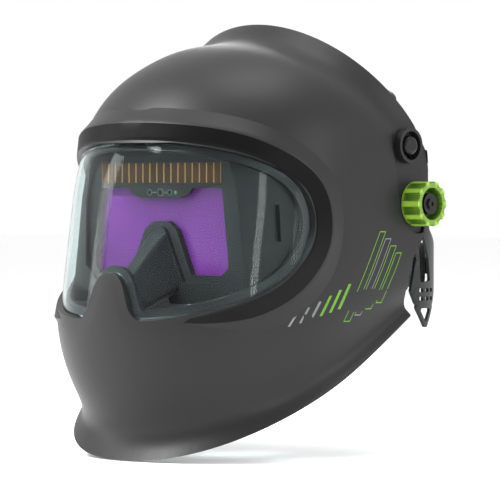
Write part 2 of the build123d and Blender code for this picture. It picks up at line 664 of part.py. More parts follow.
with BuildPart() as carrier_screws:
    for z in CARRIER_SCREW_ZS:
        for side in (1, -1):
            head = carrier_screw_head(z)
            with BuildSketch(along_x(-side, CARRIER_SCREW_Y, z, -head)):
                Circle(SCREW_HEAD_R)
            extrude(amount=SCREW_HEAD)
            with BuildSketch(along_x(side, CARRIER_SCREW_Y, z, head)):
                Circle(SCREW_R - RUNNING)
            extrude(amount=CARRIER_SCREW_LENGTH)
save(carrier_screws, "carrier_screws")

CLIP_X, CLIP_WIDTH, CLIP_FINGER, CASSETTE_CLIP_ZS = FILTER_HALF_WIDTH + 0.4, 2.0, 2.9, (-46.0, -67.0)
with BuildPart() as cassette_clips:
    for z in CASSETTE_CLIP_ZS:
        for side in (1, -1):
            arm = sorted((side * CLIP_X, side * (CLIP_X + CLIP_WIDTH)))
            finger = sorted((side * (CLIP_X - CLIP_FINGER), side * (CLIP_X + CLIP_WIDTH)))
            add(block(*arm, FILTER_FRONT_Y, FILTER_BACK_Y + 1.9, z - 4, z + 4))
            add(block(*finger, FILTER_BACK_Y + 0.3, FILTER_BACK_Y + 1.9, z - 4, z + 4))
save(cassette_clips, "cassette_clips")


def nose_arch(y, top, top_x, foot, foot_x, radius):
    """One cross-section of the nose bridge, seen from the front."""
    half = [(foot_x, foot), (top_x, top)]
    return Location((0, y, 0)) * mirrored_outline(half, radius, 0)


BRIDGE_BACK = (PLATE_Y, NOTCH_TOP - 7.0, 8.0, -104.0, 23.0)
BRIDGE_FRONT = (-175.0, -91.5, 5.0, -118.0, 14.0)
BRIDGE_WALL = 2.0

y_front, top, top_x, foot, foot_x = BRIDGE_FRONT
y_back, back_top, back_top_x, back_foot, back_foot_x = BRIDGE_BACK
back_half = (back_top_x - 1.6, back_foot - 9, back_foot_x - 1.0)
inner_back = nose_arch(y_back, back_top - BRIDGE_WALL, *back_half, 4.6)
inner_front = nose_arch(y_front, top - BRIDGE_WALL, top_x - 1.6, foot - 9, foot_x - 0.6, 2.0)
bridge_outside = loft([nose_arch(*BRIDGE_BACK, 6.5).face(), nose_arch(*BRIDGE_FRONT, 4.0).face()])
bridge_inside = loft([inner_back.face(), inner_front.face()])

with BuildPart() as bridge:
    add(bridge_outside)
    add(bridge_inside, mode=Mode.SUBTRACT)
save(bridge, "nose_bridge")

# --------------------------------------------------------------------------------------------------
# Shade control on the wearer's left: potentiometer, knob and the grind-mode button in the knob's middle
# --------------------------------------------------------------------------------------------------
NUT_THICKNESS, NUT_FLATS = 2.4, 12.0
SHAFT_END_X = FLOOR_X + 6.6
KNOB_BASE_X = FLOOR_X + FACE_GAP
KNOB_END_X = KNOB_BASE_X + KNOB_LENGTH
CUP_FLOOR_X = KNOB_END_X - KNOB_CUP_DEPTH
HUB_END_X = KNOB_END_X - 1.5
BUTTON_BORE_X = CUP_FLOOR_X + 1.6
SHAFT_FLAT = 1.0


def bar_x(radius, y, z, x0, x1, sides=0):
    """A round or many-sided bar along X on the wearer's left."""
    with BuildPart(mode=Mode.PRIVATE) as bar:
        with BuildSketch(along_x(1, y, z, x0)):
            if sides:
                RegularPolygon(radius, sides)
            else:
                Circle(radius)
        extrude(amount=x1 - x0)
    return bar.part


POT_BACK_X = FLOOR_INNER_X - FACE_GAP - POT_LENGTH
with BuildPart() as pot:
    add(bar_x(POT_R, KNOB_Y, KNOB_Z, POT_BACK_X, FLOOR_INNER_X))
    add(bar_x(POT_BUSH_R, KNOB_Y, KNOB_Z, FLOOR_INNER_X, FLOOR_X + NUT_THICKNESS))
    add(bar_x(SHADE_SHAFT_R + RUNNING, KNOB_Y, KNOB_Z, POT_BACK_X + 2, KNOB_END_X), mode=Mode.SUBTRACT)
    add(bar_x(POT_COVER_R, KNOB_Y, KNOB_Z, POT_BACK_X - 1.2, POT_BACK_X))
save(pot, "potentiometer")

with BuildPart() as pot_nut:
    add(bar_x(NUT_FLATS / 2 / cos(pi / 6), KNOB_Y, KNOB_Z, FLOOR_X, FLOOR_X + NUT_THICKNESS, 6))
    add(bar_x(POT_BUSH_R + RUNNING, KNOB_Y, KNOB_Z, FLOOR_X, FLOOR_X + NUT_THICKNESS), mode=Mode.SUBTRACT)
save(pot_nut, "potentiometer_nut")

with BuildPart() as pot_shaft:
    add(bar_x(SHADE_SHAFT_R, KNOB_Y, KNOB_Z, POT_BACK_X + 2.2, SHAFT_END_X))
    flat = block(
        FLOOR_X + NUT_THICKNESS + 0.2,
        SHAFT_END_X,
        KNOB_Y - 4,
        KNOB_Y + 4,
        KNOB_Z + SHADE_SHAFT_R - SHAFT_FLAT,
        KNOB_Z + SHADE_SHAFT_R,
    )
    add(flat, mode=Mode.SUBTRACT)
save(pot_shaft, "potentiometer_shaft")

key = block(
    KNOB_BASE_X,
    BUTTON_BORE_X,
    KNOB_Y - 4,
    KNOB_Y + 4,
    KNOB_Z + SHADE_SHAFT_R - SHAFT_FLAT + RUNNING,
    KNOB_Z + 6,
)
shaft_bore = bar_x(SHADE_SHAFT_R + RUNNING, KNOB_Y, KNOB_Z, KNOB_BASE_X, BUTTON_BORE_X) - key

with BuildPart() as shade_knob:
    add(bar_x(KNOB_R, KNOB_Y, KNOB_Z, KNOB_BASE_X, KNOB_END_X))
    for i in range(KNOB_SCALLOPS):
        turn = 2 * pi * (i + 0.5) / KNOB_SCALLOPS
        reach = KNOB_R + KNOB_SCALLOP_R - 1.5
        y, z = KNOB_Y + reach * cos(turn), KNOB_Z + reach * sin(turn)
        add(bar_x(KNOB_SCALLOP_R, y, z, KNOB_BASE_X + 2, KNOB_END_X), mode=Mode.SUBTRACT)
    add(bar_x(KNOB_CUP_R, KNOB_Y, KNOB_Z, CUP_FLOOR_X, KNOB_END_X), mode=Mode.SUBTRACT)
    add(bar_x(KNOB_HUB_R, KNOB_Y, KNOB_Z, CUP_FLOOR_X, HUB_END_X))
    add(bar_x(KNOB_HUB_R, KNOB_Y, KNOB_Z, KNOB_BASE_X, FLOOR_X + NUT_THICKNESS + 0.6), mode=Mode.SUBTRACT)
    add(shaft_bore, mode=Mode.SUBTRACT)
    add(bar_x(BUTTON_R + RUNNING, KNOB_Y, KNOB_Z, BUTTON_BORE_X, KNOB_END_X), mode=Mode.SUBTRACT)
save(shade_knob, "shade_knob")

BUTTON_BACK_X = BUTTON_BORE_X + 3.6
SPRING_WIRE, SPRING_R, SPRING_TURNS = 0.35, 3.0, 3.5
with BuildPart() as button:
    add(bar_x(BUTTON_R, KNOB_Y, KNOB_Z, BUTTON_BACK_X, HUB_END_X))
    add(bar_x(BUTTON_HEX / 2 / cos(pi / 6), KNOB_Y, KNOB_Z, HUB_END_X, HUB_END_X + BUTTON_TRAVEL, 6))
    button_end = HUB_END_X + BUTTON_TRAVEL
    add(bar_x(1.6, KNOB_Y, KNOB_Z, button_end - 0.8, button_end), mode=Mode.SUBTRACT)
save(button, "grind_button")

spring_start = BUTTON_BORE_X + SPRING_WIRE + 0.05
spring_length = BUTTON_BACK_X - BUTTON_BORE_X - 2 * SPRING_WIRE - 0.1
coil = Helix(pitch=spring_length / SPRING_TURNS, height=spring_length, radius=SPRING_R)
coil = along_x(1, KNOB_Y, KNOB_Z, spring_start).location * coil

with BuildPart() as spring:
    with BuildSketch(Plane(origin=coil @ 0, z_dir=coil % 0)):
        Circle(SPRING_WIRE)
    sweep(path=coil)
save(spring, "button_spring")

# Signal lead from the potentiometer to the cassette, and the clips that hold it to the shell
CABLE_POINTS = [
    (95.0, KNOB_Y - POT_R, KNOB_Z),
    (95.0, -20.0, KNOB_Z),
    (101.0, -50.0, KNOB_Z - 3),
    (100.5, -84.0, KNOB_Z - 7),
    (86.0, -101.0, KNOB_Z - 11),
    (79.0, -133.0, -57.0),
    (FILTER_HALF_WIDTH, -133.0, -57.0),
]
with BuildPart() as cable:
    with BuildLine() as lead:
        FilletPolyline(*CABLE_POINTS, radius=5)
    with BuildSketch(Plane(origin=lead.line @ 0, z_dir=lead.line % 0)):
        Circle(CABLE_R)
    sweep(path=lead.line)
save(cable, "signal_cable")

CLIP_LENGTH, CLIP_WALL, CLIP_YS = 8.0, 1.6, (-56.0, -74.0)
with BuildPart() as clips:
    for y in CLIP_YS:
        share = (y - CABLE_POINTS[2][1]) / (CABLE_POINTS[3][1] - CABLE_POINTS[2][1])
        x = CABLE_POINTS[2][0] + share * (CABLE_POINTS[3][0] - CABLE_POINTS[2][0])
        z = CABLE_POINTS[2][2] + share * (CABLE_POINTS[3][2] - CABLE_POINTS[2][2])
        wall_x = half_width_at(y, z, SHELL_WALL) - 0.5
        hold = CABLE_R + 0.8
        reach_y = (y - CLIP_LENGTH / 2, y + CLIP_LENGTH / 2)
        part = block(x - hold - CLIP_WALL, wall_x, *reach_y, z - hold - CLIP_WALL, z + hold)
        part -= block(x - hold, x + hold + 0.3, y - CLIP_LENGTH, y + CLIP_LENGTH, z - hold, z + 2 * hold)
        add(part)
save(clips, "cable_clips")


# --------------------------------------------------------------------------------------------------
# Headgear
# --------------------------------------------------------------------------------------------------
def both_sides(builder, name):
    """Saves a left-hand piece and its mirror image."""
    save(builder, f"{name}_left")
    right = mirror(builder.part, about=Plane.YZ)
    right.label = f"{name}_right"
    export_step(right, f"parts/{name}_right.step")


def head_wall(inner, outer, z0, z1):
    """A wall that follows the head all round, between two distances outside the band's inner face."""
    walls = []
    for grow in (outer, inner):
        with BuildSketch(Plane.XY, mode=Mode.PRIVATE) as plan:
            with Locations((0, BAND_FRONT_Y + BAND_X)):
                Circle(BAND_X + grow)
            with Locations(
                (NAPE_HALF_FLAT, BAND_BACK_Y - NAPE_CORNER_R),
                (-NAPE_HALF_FLAT, BAND_BACK_Y - NAPE_CORNER_R),
            ):
                Circle(NAPE_CORNER_R + grow)
            make_hull()
        walls.append(extrude(Location((0, 0, z0)) * plan.sketch, amount=z1 - z0, mode=Mode.PRIVATE))
    return walls[0] - walls[1]


def side_profile(points, radius=0.0, x0=0.0, x1=REACH):
    """An outline of (y, z) points made solid between two x."""
    with BuildPart(mode=Mode.PRIVATE) as prism:
        with BuildSketch(Plane.YZ.offset(x0)) as outline:
            with BuildLine():
                Polyline(*points, close=True)
            make_face()
            if radius:
                fillet(outline.vertices(), radius)
        extrude(amount=x1 - x0)
    return prism.part


PLATE_X = BAND_X + BAND_WALL
NECK_X = PLATE_X + PLATE_THICKNESS
FLANGE_X = NECK_X + RAIL_NECK_THICKNESS
RAIL_X = FLANGE_X + RAIL_THICKNESS
CARRIAGE_X = RAIL_X + FACE_GAP
CARRIAGE_OUTER_X = CARRIAGE_X + CARRIAGE_WALL
RIVET_R, RIVET_HEAD_R, RIVET_HEAD = 2.0, 4.0, 1.2
NAPE_RIVETS = [(22.0, -21.5), (33.0, -21.5)]
STRAP_RIVETS = [(foot, STRAP_FOOT_Z) for foot, _, _ in CROWN_STRAPS.values()]
BAND_TOP = BAND_BOTTOM + BAND_HEIGHT

with BuildPart() as band:
    add(head_wall(0, BAND_WALL, BAND_BOTTOM, BAND_TOP))
    add(block(-REACH, REACH, BAND_FRONT_Y - 20, BAND_END_Y, BAND_BOTTOM, BAND_TOP), mode=Mode.INTERSECT)
    for turn in (-60, -36, -12, 12, 36, 60):
        with Locations(Location((0, BAND_FRONT_Y + BAND_X, (BAND_BOTTOM + BAND_TOP) / 2), (0, 0, turn))):
            with Locations((0, -BAND_X, 0)):
                Box(14, 12, 5, mode=Mode.SUBTRACT)
    for y, z in STRAP_RIVETS:
        for side in (1, -1):
            with BuildSketch(along_x(side, y, z, BAND_X - 4)):
                Circle(RIVET_R + RUNNING)
            extrude(amount=10, mode=Mode.SUBTRACT)
save(band, "headband_front")

with BuildPart() as sweatband:
    add(head_wall(-PAD_THICKNESS, -0.3, BAND_BOTTOM - 2, BAND_TOP + 3))
    add(block(-REACH, REACH, BAND_FRONT_Y - 20, -30, -REACH, REACH), mode=Mode.INTERSECT)
save(sweatband, "sweatband")

with BuildPart() as plate:
    outline = [
        (PLATE_FRONT, PLATE_TOP),
        (2, PLATE_TOP),
        (18, PLATE_TOP - 10),
        (36, PLATE_TOP - 26),
        (PLATE_REAR, PLATE_BOTTOM),
        (15, PLATE_BOTTOM),
        (12, -14),
        (PLATE_FRONT, -14),
    ]
    add(side_profile(outline, 4.0, PLATE_X, NECK_X))
    neck, flange = RAIL_NECK_HALF_HEIGHT, RAIL_HALF_HEIGHT
    reach = RAIL_HALF_LENGTH
    add(block(NECK_X, FLANGE_X, -reach, reach, -neck, neck))
    add(block(FLANGE_X, RAIL_X, -reach, reach, -flange, flange))
    for side in (1, -1):
        stop = sorted((side * (CARRIAGE_HALF_LENGTH + CARRIAGE_TRAVEL + FACE_GAP), side * reach))
        add(block(RAIL_X, CARRIAGE_X + 1.2, *stop, -flange, flange))
    # groove the lock's tip runs in, with a round pit at each setting
    groove_x = RAIL_X - LOCK_GROOVE_DEPTH
    groove_end = CARRIAGE_TRAVEL + LOCK_TIP_R + 0.1
    groove_half = LOCK_TIP_R + 0.1
    groove = block(groove_x, RAIL_X, LOCK_Y - groove_end, LOCK_Y + groove_end, -groove_half, groove_half)
    add(groove, mode=Mode.SUBTRACT)
    for i in (-2, -1, 0, 1, 2):
        add(bar_x(LOCK_PIT_R, LOCK_Y + i * LOCK_PITCH, 0, groove_x, RAIL_X), mode=Mode.SUBTRACT)
    for y, z in STRAP_RIVETS + NAPE_RIVETS:
        add(bar_x(RIVET_R + RUNNING, y, z, PLATE_X, NECK_X), mode=Mode.SUBTRACT)
both_sides(plate, "side_plate")

with BuildPart() as rivets:
    for side in (1, -1):
        for y, z, head_x in [(y, z, NECK_X + STRAP_THICKNESS) for y, z in STRAP_RIVETS] + [
            (y, z, NECK_X) for y, z in NAPE_RIVETS
        ]:
            with BuildSketch(along_x(side, y, z, BAND_X + 0.2)):
                Circle(RIVET_R)
            extrude(amount=head_x - BAND_X - 0.2)
            with BuildSketch(along_x(side, y, z, head_x)):
                Circle(RIVET_HEAD_R)
            extrude(amount=RIVET_HEAD)
save(rivets, "headgear_rivets")

for name, (foot_y, top_z, lean) in CROWN_STRAPS.items():
    rise = top_z - STRAP_FOOT_Z
    outer_x = NECK_X + STRAP_THICKNESS
    with BuildPart() as strap:
        turn = radians(lean)
        across = (0, -cos(turn), sin(turn))
        upright = Plane(origin=(0, foot_y, STRAP_FOOT_Z), x_dir=(1, 0, 0), z_dir=across)
        with BuildSketch(upright):
            with Locations((0, STRAP_LEG)):
                Ellipse(outer_x, rise - STRAP_LEG)
            with Locations((0, (STRAP_LEG - STRAP_TAIL) / 2)):
                Rectangle(2 * outer_x, STRAP_LEG + STRAP_TAIL)
            with Locations((0, STRAP_LEG)):
                Ellipse(NECK_X, rise - STRAP_LEG - STRAP_THICKNESS, mode=Mode.SUBTRACT)
            with Locations((0, STRAP_LEG - REACH / 2)):
                Rectangle(2 * NECK_X, REACH, mode=Mode.SUBTRACT)
            with Locations((0, -STRAP_TAIL - REACH / 2)):
                Rectangle(4 * outer_x, REACH, mode=Mode.SUBTRACT)
        extrude(amount=STRAP_WIDTH / 2, both=True)
        for side in (1, -1):
            with BuildSketch(along_x(side, foot_y, STRAP_FOOT_Z, NECK_X - 1)):
                Circle(RIVET_R + RUNNING)
            extrude(amount=4, mode=Mode.SUBTRACT)
        for i in (-2, -1, 0, 1, 2):
            with Locations((i * 12.0, foot_y + rise * sin(turn), STRAP_FOOT_Z + rise * cos(turn))):
                Cylinder(2.2, 12, mode=Mode.SUBTRACT)
    save(strap, f"crown_strap_{name}")

# Fore-and-aft carriages, with the pegs the helmet tilts on
with BuildPart() as carriage:
    inner = RAIL_HALF_HEIGHT + FACE_GAP
    outer = inner + CARRIAGE_WALL
    length = CARRIAGE_HALF_LENGTH
    lip_x = NECK_X + FACE_GAP
    add(block(CARRIAGE_X, CARRIAGE_OUTER_X, -length, length, -outer, outer))
    for side in (1, -1):
        add(block(lip_x, CARRIAGE_X, -length, length, *sorted((side * inner, side * outer))))
        lip = sorted((side * (RAIL_NECK_HALF_HEIGHT + FACE_GAP), side * outer))
        add(block(lip_x, FLANGE_X - FACE_GAP, -length, length, *lip))
    fillet(carriage.edges().filter_by(Axis.X).group_by(Axis.Z)[0], 2.0)
    fillet(carriage.edges().filter_by(Axis.X).group_by(Axis.Z)[-1], 2.0)
    add(bar_x(PEG_R + 2 + RUNNING, 0, 0, CARRIAGE_X, CARRIAGE_X + 2), mode=Mode.SUBTRACT)
    add(bar_x(PEG_R + RUNNING, 0, 0, CARRIAGE_X, CARRIAGE_OUTER_X), mode=Mode.SUBTRACT)
    add(bar_x(LOCK_R + RUNNING, LOCK_Y, 0, CARRIAGE_X, CARRIAGE_OUTER_X), mode=Mode.SUBTRACT)
both_sides(carriage, "carriage")

with BuildPart() as pivot_peg:
    add(bar_x(PEG_R + 2, 0, 0, CARRIAGE_X + 0.1, CARRIAGE_X + 1.9))
    add(bar_x(PEG_R, 0, 0, CARRIAGE_X + 1.9, FLOOR_X + PEG_HEAD_LENGTH))
    fillet(pivot_peg.edges().group_by(Axis.X)[-1], 3.6)
    tab = block(
        FLOOR_X + 0.3, FLOOR_X + 0.3 + TAB_THICKNESS, -TAB_R, TAB_R, -TAB_HALF_WIDTH, TAB_HALF_WIDTH
    )
    add(tab)
both_sides(pivot_peg, "pivot_peg")


def ring_sector(r0, r1, start, end, x0, x1):
    """Part of a ring round the pivot, on the wearer's left, between two angles from +Y."""
    with BuildPart(mode=Mode.PRIVATE) as sector:
        with BuildSketch(along_x(1, 0, 0, x0)):
            with BuildLine():
                outer_arc = CenterArc((0, 0), r1, start, end - start)
                inner_arc = CenterArc((0, 0), r0, start, end - start)
                Line(outer_arc @ 0, inner_arc @ 0)
                Line(outer_arc @ 1, inner_arc @ 1)
            make_face()
        extrude(amount=x1 - x0)
    return sector.part


STOP_X = CARRIAGE_OUTER_X + FACE_GAP
STOP_END_X = FLOOR_INNER_X - STOP_CLEARANCE
pin_share = degrees(atan2(STOP_PIN_R + 0.1, STOP_PIN_AT))
with BuildPart() as tilt_stop:
    add(bar_x(STOP_R, 0, 0, STOP_X, STOP_X + 2.2))
    rest = STOP_PIN_ANGLE + pin_share
    full = STOP_PIN_ANGLE - TILT_RANGE - pin_share
    add(ring_sector(STOP_R - 0.5, STOP_ARM_R, rest, rest + 24, STOP_X, STOP_END_X))
    add(ring_sector(STOP_R - 0.5, STOP_ARM_R, full - 14, full, STOP_X, STOP_END_X))
    add(ring_sector(STOP_R - 0.5, STOP_R, full - 14, rest + 24, STOP_X, STOP_X + 2.2))
    add(bar_x(PEG_R + RUNNING, 0, 0, STOP_X, STOP_END_X), mode=Mode.SUBTRACT)
both_sides(tilt_stop, "tilt_stop")

with BuildPart() as lock:
    add(bar_x(LOCK_TIP_R, LOCK_Y, 0, RAIL_X - 1.3, CARRIAGE_X + 0.1))
    add(bar_x(LOCK_R, LOCK_Y, 0, CARRIAGE_X + 0.1, CARRIAGE_OUTER_X + FACE_GAP))
    add(bar_x(LOCK_HEAD_R, LOCK_Y, 0, CARRIAGE_OUTER_X + FACE_GAP, CARRIAGE_OUTER_X + 3.2))
both_sides(lock, "distance_lock")

# Nape straps: flat mouldings from the side plates down to the nape, with a perforated lug and a loop
NAPE_TOP, NAPE_BOTTOM = NAPE_Z + NAPE_HALF_HEIGHT, NAPE_Z - NAPE_HALF_HEIGHT
TONGUE = 6.5
loop_outer = [(38, NAPE_BOTTOM - 13), (66, NAPE_BOTTOM - 13), (52, NAPE_BOTTOM - 32)]
loop_inner = [(44, NAPE_BOTTOM - 16.5), (60, NAPE_BOTTOM - 16.5), (52, NAPE_BOTTOM - 27)]
strap_window = [(39.5, -62), (47, -60), (56, -80), (59, -97), (45, -98), (44, -82)]
wall_round_head = head_wall(0, BAND_WALL, -140, 40)
loop = wall_round_head & side_profile(loop_outer, 2.5, NAPE_HALF_FLAT)

with BuildPart() as nape_strap:
    add(wall_round_head)
    outline = [
        (17, 4),
        (34, 4),
        (42, -12),
        (58, -60),
        (74, NAPE_TOP),
        (82, NAPE_Z + TONGUE),
        (REACH, NAPE_Z + TONGUE),
        (REACH, NAPE_Z - TONGUE),
        (82, NAPE_Z - TONGUE),
        (74, NAPE_BOTTOM),
        (64, NAPE_BOTTOM - 14),
        (40, NAPE_BOTTOM - 14),
        (34, NAPE_BOTTOM - 4),
        (40, NAPE_BOTTOM + 20),
        (30, -36),
        (17, -28),
    ]
    add(side_profile(outline, 2.5, NAPE_HALF_FLAT + 0.3), mode=Mode.INTERSECT)
    add(loop)
    add(side_profile(loop_inner, 1.5, NAPE_HALF_FLAT), mode=Mode.SUBTRACT)
    add(side_profile(strap_window, 2.0, NAPE_HALF_FLAT), mode=Mode.SUBTRACT)
    for row in range(2):
        for column in range(3):
            y, z = 44 + 7.5 * column, NAPE_BOTTOM - 2 - 6 * row
            hole = side_profile([(y, z), (y + 4.5, z), (y + 4.5, z - 3), (y, z - 3)], 0.8)
            add(hole, mode=Mode.SUBTRACT)
    for y, z in NAPE_RIVETS:
        add(bar_x(RIVET_R + RUNNING, y, z, BAND_X, PLATE_X), mode=Mode.SUBTRACT)
both_sides(nape_strap, "nape_strap")

# Ratchet at the nape
PITCH_R = TOOTH_MODULE * PINION_TEETH / 2
TOOTH_PITCH = pi * TOOTH_MODULE
ADDENDUM, DEDENDUM, BACKLASH = TOOTH_MODULE * 0.9, TOOTH_MODULE * 1.2, 0.2
TOOTH_HALF = TOOTH_PITCH / 4 - BACKLASH / 2
FLANK = 0.36  # how much a tooth narrows on each side per millimetre of height
CHANNEL_HALF = PITCH_R + DEDENDUM + RACK_HEIGHT - 0.5 + FACE_GAP
HOUSING_HALF = CHANNEL_HALF + HOUSING_WALL
BASE_Y = BAND_BACK_Y - HOUSING_WALL - FACE_GAP - 0.6
RACK_Y = BAND_BACK_Y - 0.6
RACK_END_Y = RACK_Y + RACK_THICKNESS
WEB_Y = RACK_END_Y + FACE_GAP
WEB_THICKNESS, PAWL_DEPTH, COVER_THICKNESS = 1.8, 3.0, 2.0
PAWL_Y = WEB_Y + WEB_THICKNESS
COVER_Y = PAWL_Y + PAWL_DEPTH
KNOB_FACE_Y = COVER_Y + COVER_THICKNESS + FACE_GAP
SHAFT_R = 4.0
HEX_R = SHAFT_R - 0.05
RATCHET_R, RATCHET_TEETH, RATCHET_DEPTH = 12.0, 24, 1.2
EAR_X, EAR_R = 24.0, 4.0


def nape_plane(y):
    """A plane at the nape facing backwards, whose x runs to the wearer's left."""
    return Plane(origin=(0, y, NAPE_Z), x_dir=(-1, 0, 0), z_dir=(0, 1, 0))


def nape_bar(radius, y0, y1, x=0.0, z=0.0, sides=0):
    with BuildPart(mode=Mode.PRIVATE) as bar:
        with BuildSketch(nape_plane(y0)):
            with Locations((-x, z)):
                if sides:
                    RegularPolygon(radius, sides)
                else:
                    Circle(radius)
        extrude(amount=y1 - y0)
    return bar.part


def rack():
    """The left rack: a bar above the pinion, its teeth down, and the tab that joins the strap."""
    root_z, top_z = PITCH_R + DEDENDUM, PITCH_R + DEDENDUM + RACK_HEIGHT - 0.5
    with BuildPart(mode=Mode.PRIVATE) as bar:
        with BuildSketch(Plane(origin=(0, RACK_END_Y, NAPE_Z), x_dir=(1, 0, 0), z_dir=(0, -1, 0))):
            with BuildLine():
                Polyline((-18, root_z), (-18, top_z), (NAPE_HALF_FLAT, top_z), (NAPE_HALF_FLAT, root_z), close=True)
            make_face()
            with BuildLine():
                tab = NAPE_HALF_FLAT - 6
                Polyline(
                    (tab, top_z), (NAPE_HALF_FLAT, top_z), (NAPE_HALF_FLAT, -TONGUE), (tab, -TONGUE), close=True
                )
            make_face()
            for i in range(-5, 8):
                middle = (i + 0.5) * TOOTH_PITCH
                tip, root = TOOTH_HALF - FLANK * ADDENDUM, TOOTH_HALF + FLANK * DEDENDUM
                with BuildLine():
                    Polyline(
                        (middle - root, root_z),
                        (middle - tip, PITCH_R - ADDENDUM),
                        (middle + tip, PITCH_R - ADDENDUM),
                        (middle + root, root_z),
                        close=True,
                    )
                make_face()
        extrude(amount=RACK_THICKNESS)
    return bar.part


left_rack = rack()
left_rack.label = "rack_left"
export_step(left_rack, "parts/rack_left.step")
middle = Location((0, 0, NAPE_Z))
right_rack = middle * Location((0, 0, 0), (0, 180, 0)) * middle.inverse() * left_rack
right_rack.label = "rack_right"
export_step(right_rack, "parts/rack_right.step")

with BuildPart() as pinion:
    with BuildSketch(nape_plane(RACK_Y + 0.2)):
        Circle(PITCH_R - DEDENDUM)
        for i in range(PINION_TEETH):
            angle = 90 + 360 * i / PINION_TEETH
            with BuildLine(Plane.XY.rotated((0, 0, angle))):
                tip, root = TOOTH_HALF - FLANK * ADDENDUM, TOOTH_HALF + FLANK * DEDENDUM
                foot = PITCH_R - DEDENDUM - 0.4
                Polyline(
                    (foot, -root), (PITCH_R + ADDENDUM, -tip), (PITCH_R + ADDENDUM, tip), (foot, root), close=True
                )
            make_face()
        RegularPolygon(HEX_R + RUNNING, 6, mode=Mode.SUBTRACT)
    extrude(amount=RACK_THICKNESS - 0.2)
save(pinion, "pinion")

ears = [(side * EAR_X, level * (HOUSING_HALF + 1.5)) for side in (1, -1) for level in (1, -1)]


def housing_slab(y0, y1, hole=SCREW_R + FACE_GAP):
    with BuildPart(mode=Mode.PRIVATE) as slab_part:
        with BuildSketch(nape_plane(y0)) as outline:
            RectangleRounded(2 * HOUSING_HALF_WIDTH, 2 * HOUSING_HALF, 3)
            with Locations(*ears):
                Circle(EAR_R)
            with Locations(*ears):
                Circle(hole, mode=Mode.SUBTRACT)
        extrude(amount=y1 - y0)
    return slab_part.part


with BuildPart() as base:
    add(housing_slab(BASE_Y, WEB_Y, SCREW_R))
    with Locations((0, (RACK_Y - FACE_GAP + WEB_Y) / 2, NAPE_Z)):
        Box(3 * HOUSING_HALF_WIDTH, WEB_Y - RACK_Y + FACE_GAP, 2 * CHANNEL_HALF, mode=Mode.SUBTRACT)
save(base, "ratchet_base")

with BuildPart() as ratchet_housing:
    add(housing_slab(WEB_Y, COVER_Y))
    add(nape_bar(SHAFT_R + RUNNING, WEB_Y, COVER_Y), mode=Mode.SUBTRACT)
    with BuildSketch(nape_plane(PAWL_Y)):
        with BuildLine():
            corners = []
            for i in range(RATCHET_TEETH):
                angle = 2 * pi * i / RATCHET_TEETH
                for shift, radius in ((0, RATCHET_R + RATCHET_DEPTH), (0.5, RATCHET_R)):
                    turn = angle + 2 * pi * shift / RATCHET_TEETH
                    corners.append((radius * cos(turn), radius * sin(turn)))
            Polyline(*corners, close=True)
        make_face()
    extrude(amount=PAWL_DEPTH, mode=Mode.SUBTRACT)
save(ratchet_housing, "ratchet_housing")

with BuildPart() as pawl:
    with BuildSketch(nape_plane(PAWL_Y + FACE_GAP)):
        Circle(6.0)
        for start in (0, 180):
            with BuildLine(Plane.XY.rotated((0, 0, start))):
                Polyline((4, -1.4), (9.2, -1.4), (9.2, 1.4), (4, 1.4), close=True)
            make_face()
            with BuildLine(Plane.XY.rotated((0, 0, start))):
                outer_arc = CenterArc((0, 0), 10.2, 0, 93.75)
                inner_arc = CenterArc((0, 0), 8.8, 0, 93.75)
                Line(outer_arc @ 0, inner_arc @ 0)
                Line(outer_arc @ 1, inner_arc @ 1)
            make_face()
            with BuildLine(Plane.XY.rotated((0, 0, start + 90))):
                Polyline((9.4, -0.9), (12.7, 0), (9.4, 0.9), close=True)
            make_face()
        RegularPolygon(HEX_R + RUNNING, 6, mode=Mode.SUBTRACT)
    extrude(amount=PAWL_DEPTH - 2 * FACE_GAP)
save(pawl, "pawl_spring")

with BuildPart() as cover:
    add(housing_slab(COVER_Y, COVER_Y + COVER_THICKNESS))
    add(nape_bar(SHAFT_R + RUNNING, COVER_Y, COVER_Y + COVER_THICKNESS), mode=Mode.SUBTRACT)
save(cover, "ratchet_cover")

with BuildPart() as ratchet_knob:
    add(nape_bar(RATCHET_KNOB_R, KNOB_FACE_Y, KNOB_FACE_Y + RATCHET_KNOB_LENGTH))
    fillet(ratchet_knob.edges().group_by(Axis.Y)[-1], 2.0)
    for i in range(14):
        turn = 2 * pi * i / 14
        reach = RATCHET_KNOB_R + 2.0
        scallop = nape_bar(
            3.2, KNOB_FACE_Y + 2, KNOB_FACE_Y + RATCHET_KNOB_LENGTH, reach * cos(turn), reach * sin(turn)
        )
        add(scallop, mode=Mode.SUBTRACT)
    knob_end_y = KNOB_FACE_Y + RATCHET_KNOB_LENGTH
    add(nape_bar(12, knob_end_y - 3, knob_end_y), mode=Mode.SUBTRACT)
    add(nape_bar(SHAFT_R, COVER_Y, KNOB_FACE_Y))
    add(nape_bar(HEX_R, RACK_Y + 0.2, COVER_Y, sides=6))
save(ratchet_knob, "ratchet_knob")

with BuildPart() as cover_screws:
    head_y = COVER_Y + COVER_THICKNESS
    for x, z in ears:
        add(nape_bar(SCREW_HEAD_R, head_y, head_y + SCREW_HEAD, x, z))
        add(nape_bar(SCREW_R - RUNNING, BASE_Y + 1, head_y, x, z))
save(cover_screws, "ratchet_screws")

with BuildPart() as nape_pad:
    add(head_wall(-PAD_THICKNESS - 3, -3.6, NAPE_Z - HOUSING_HALF - 2, NAPE_Z + HOUSING_HALF + 2))
    add(block(-REACH, REACH, 58, REACH, -REACH - 20, 0), mode=Mode.INTERSECT)
save(nape_pad, "nape_pad")
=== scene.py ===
import math

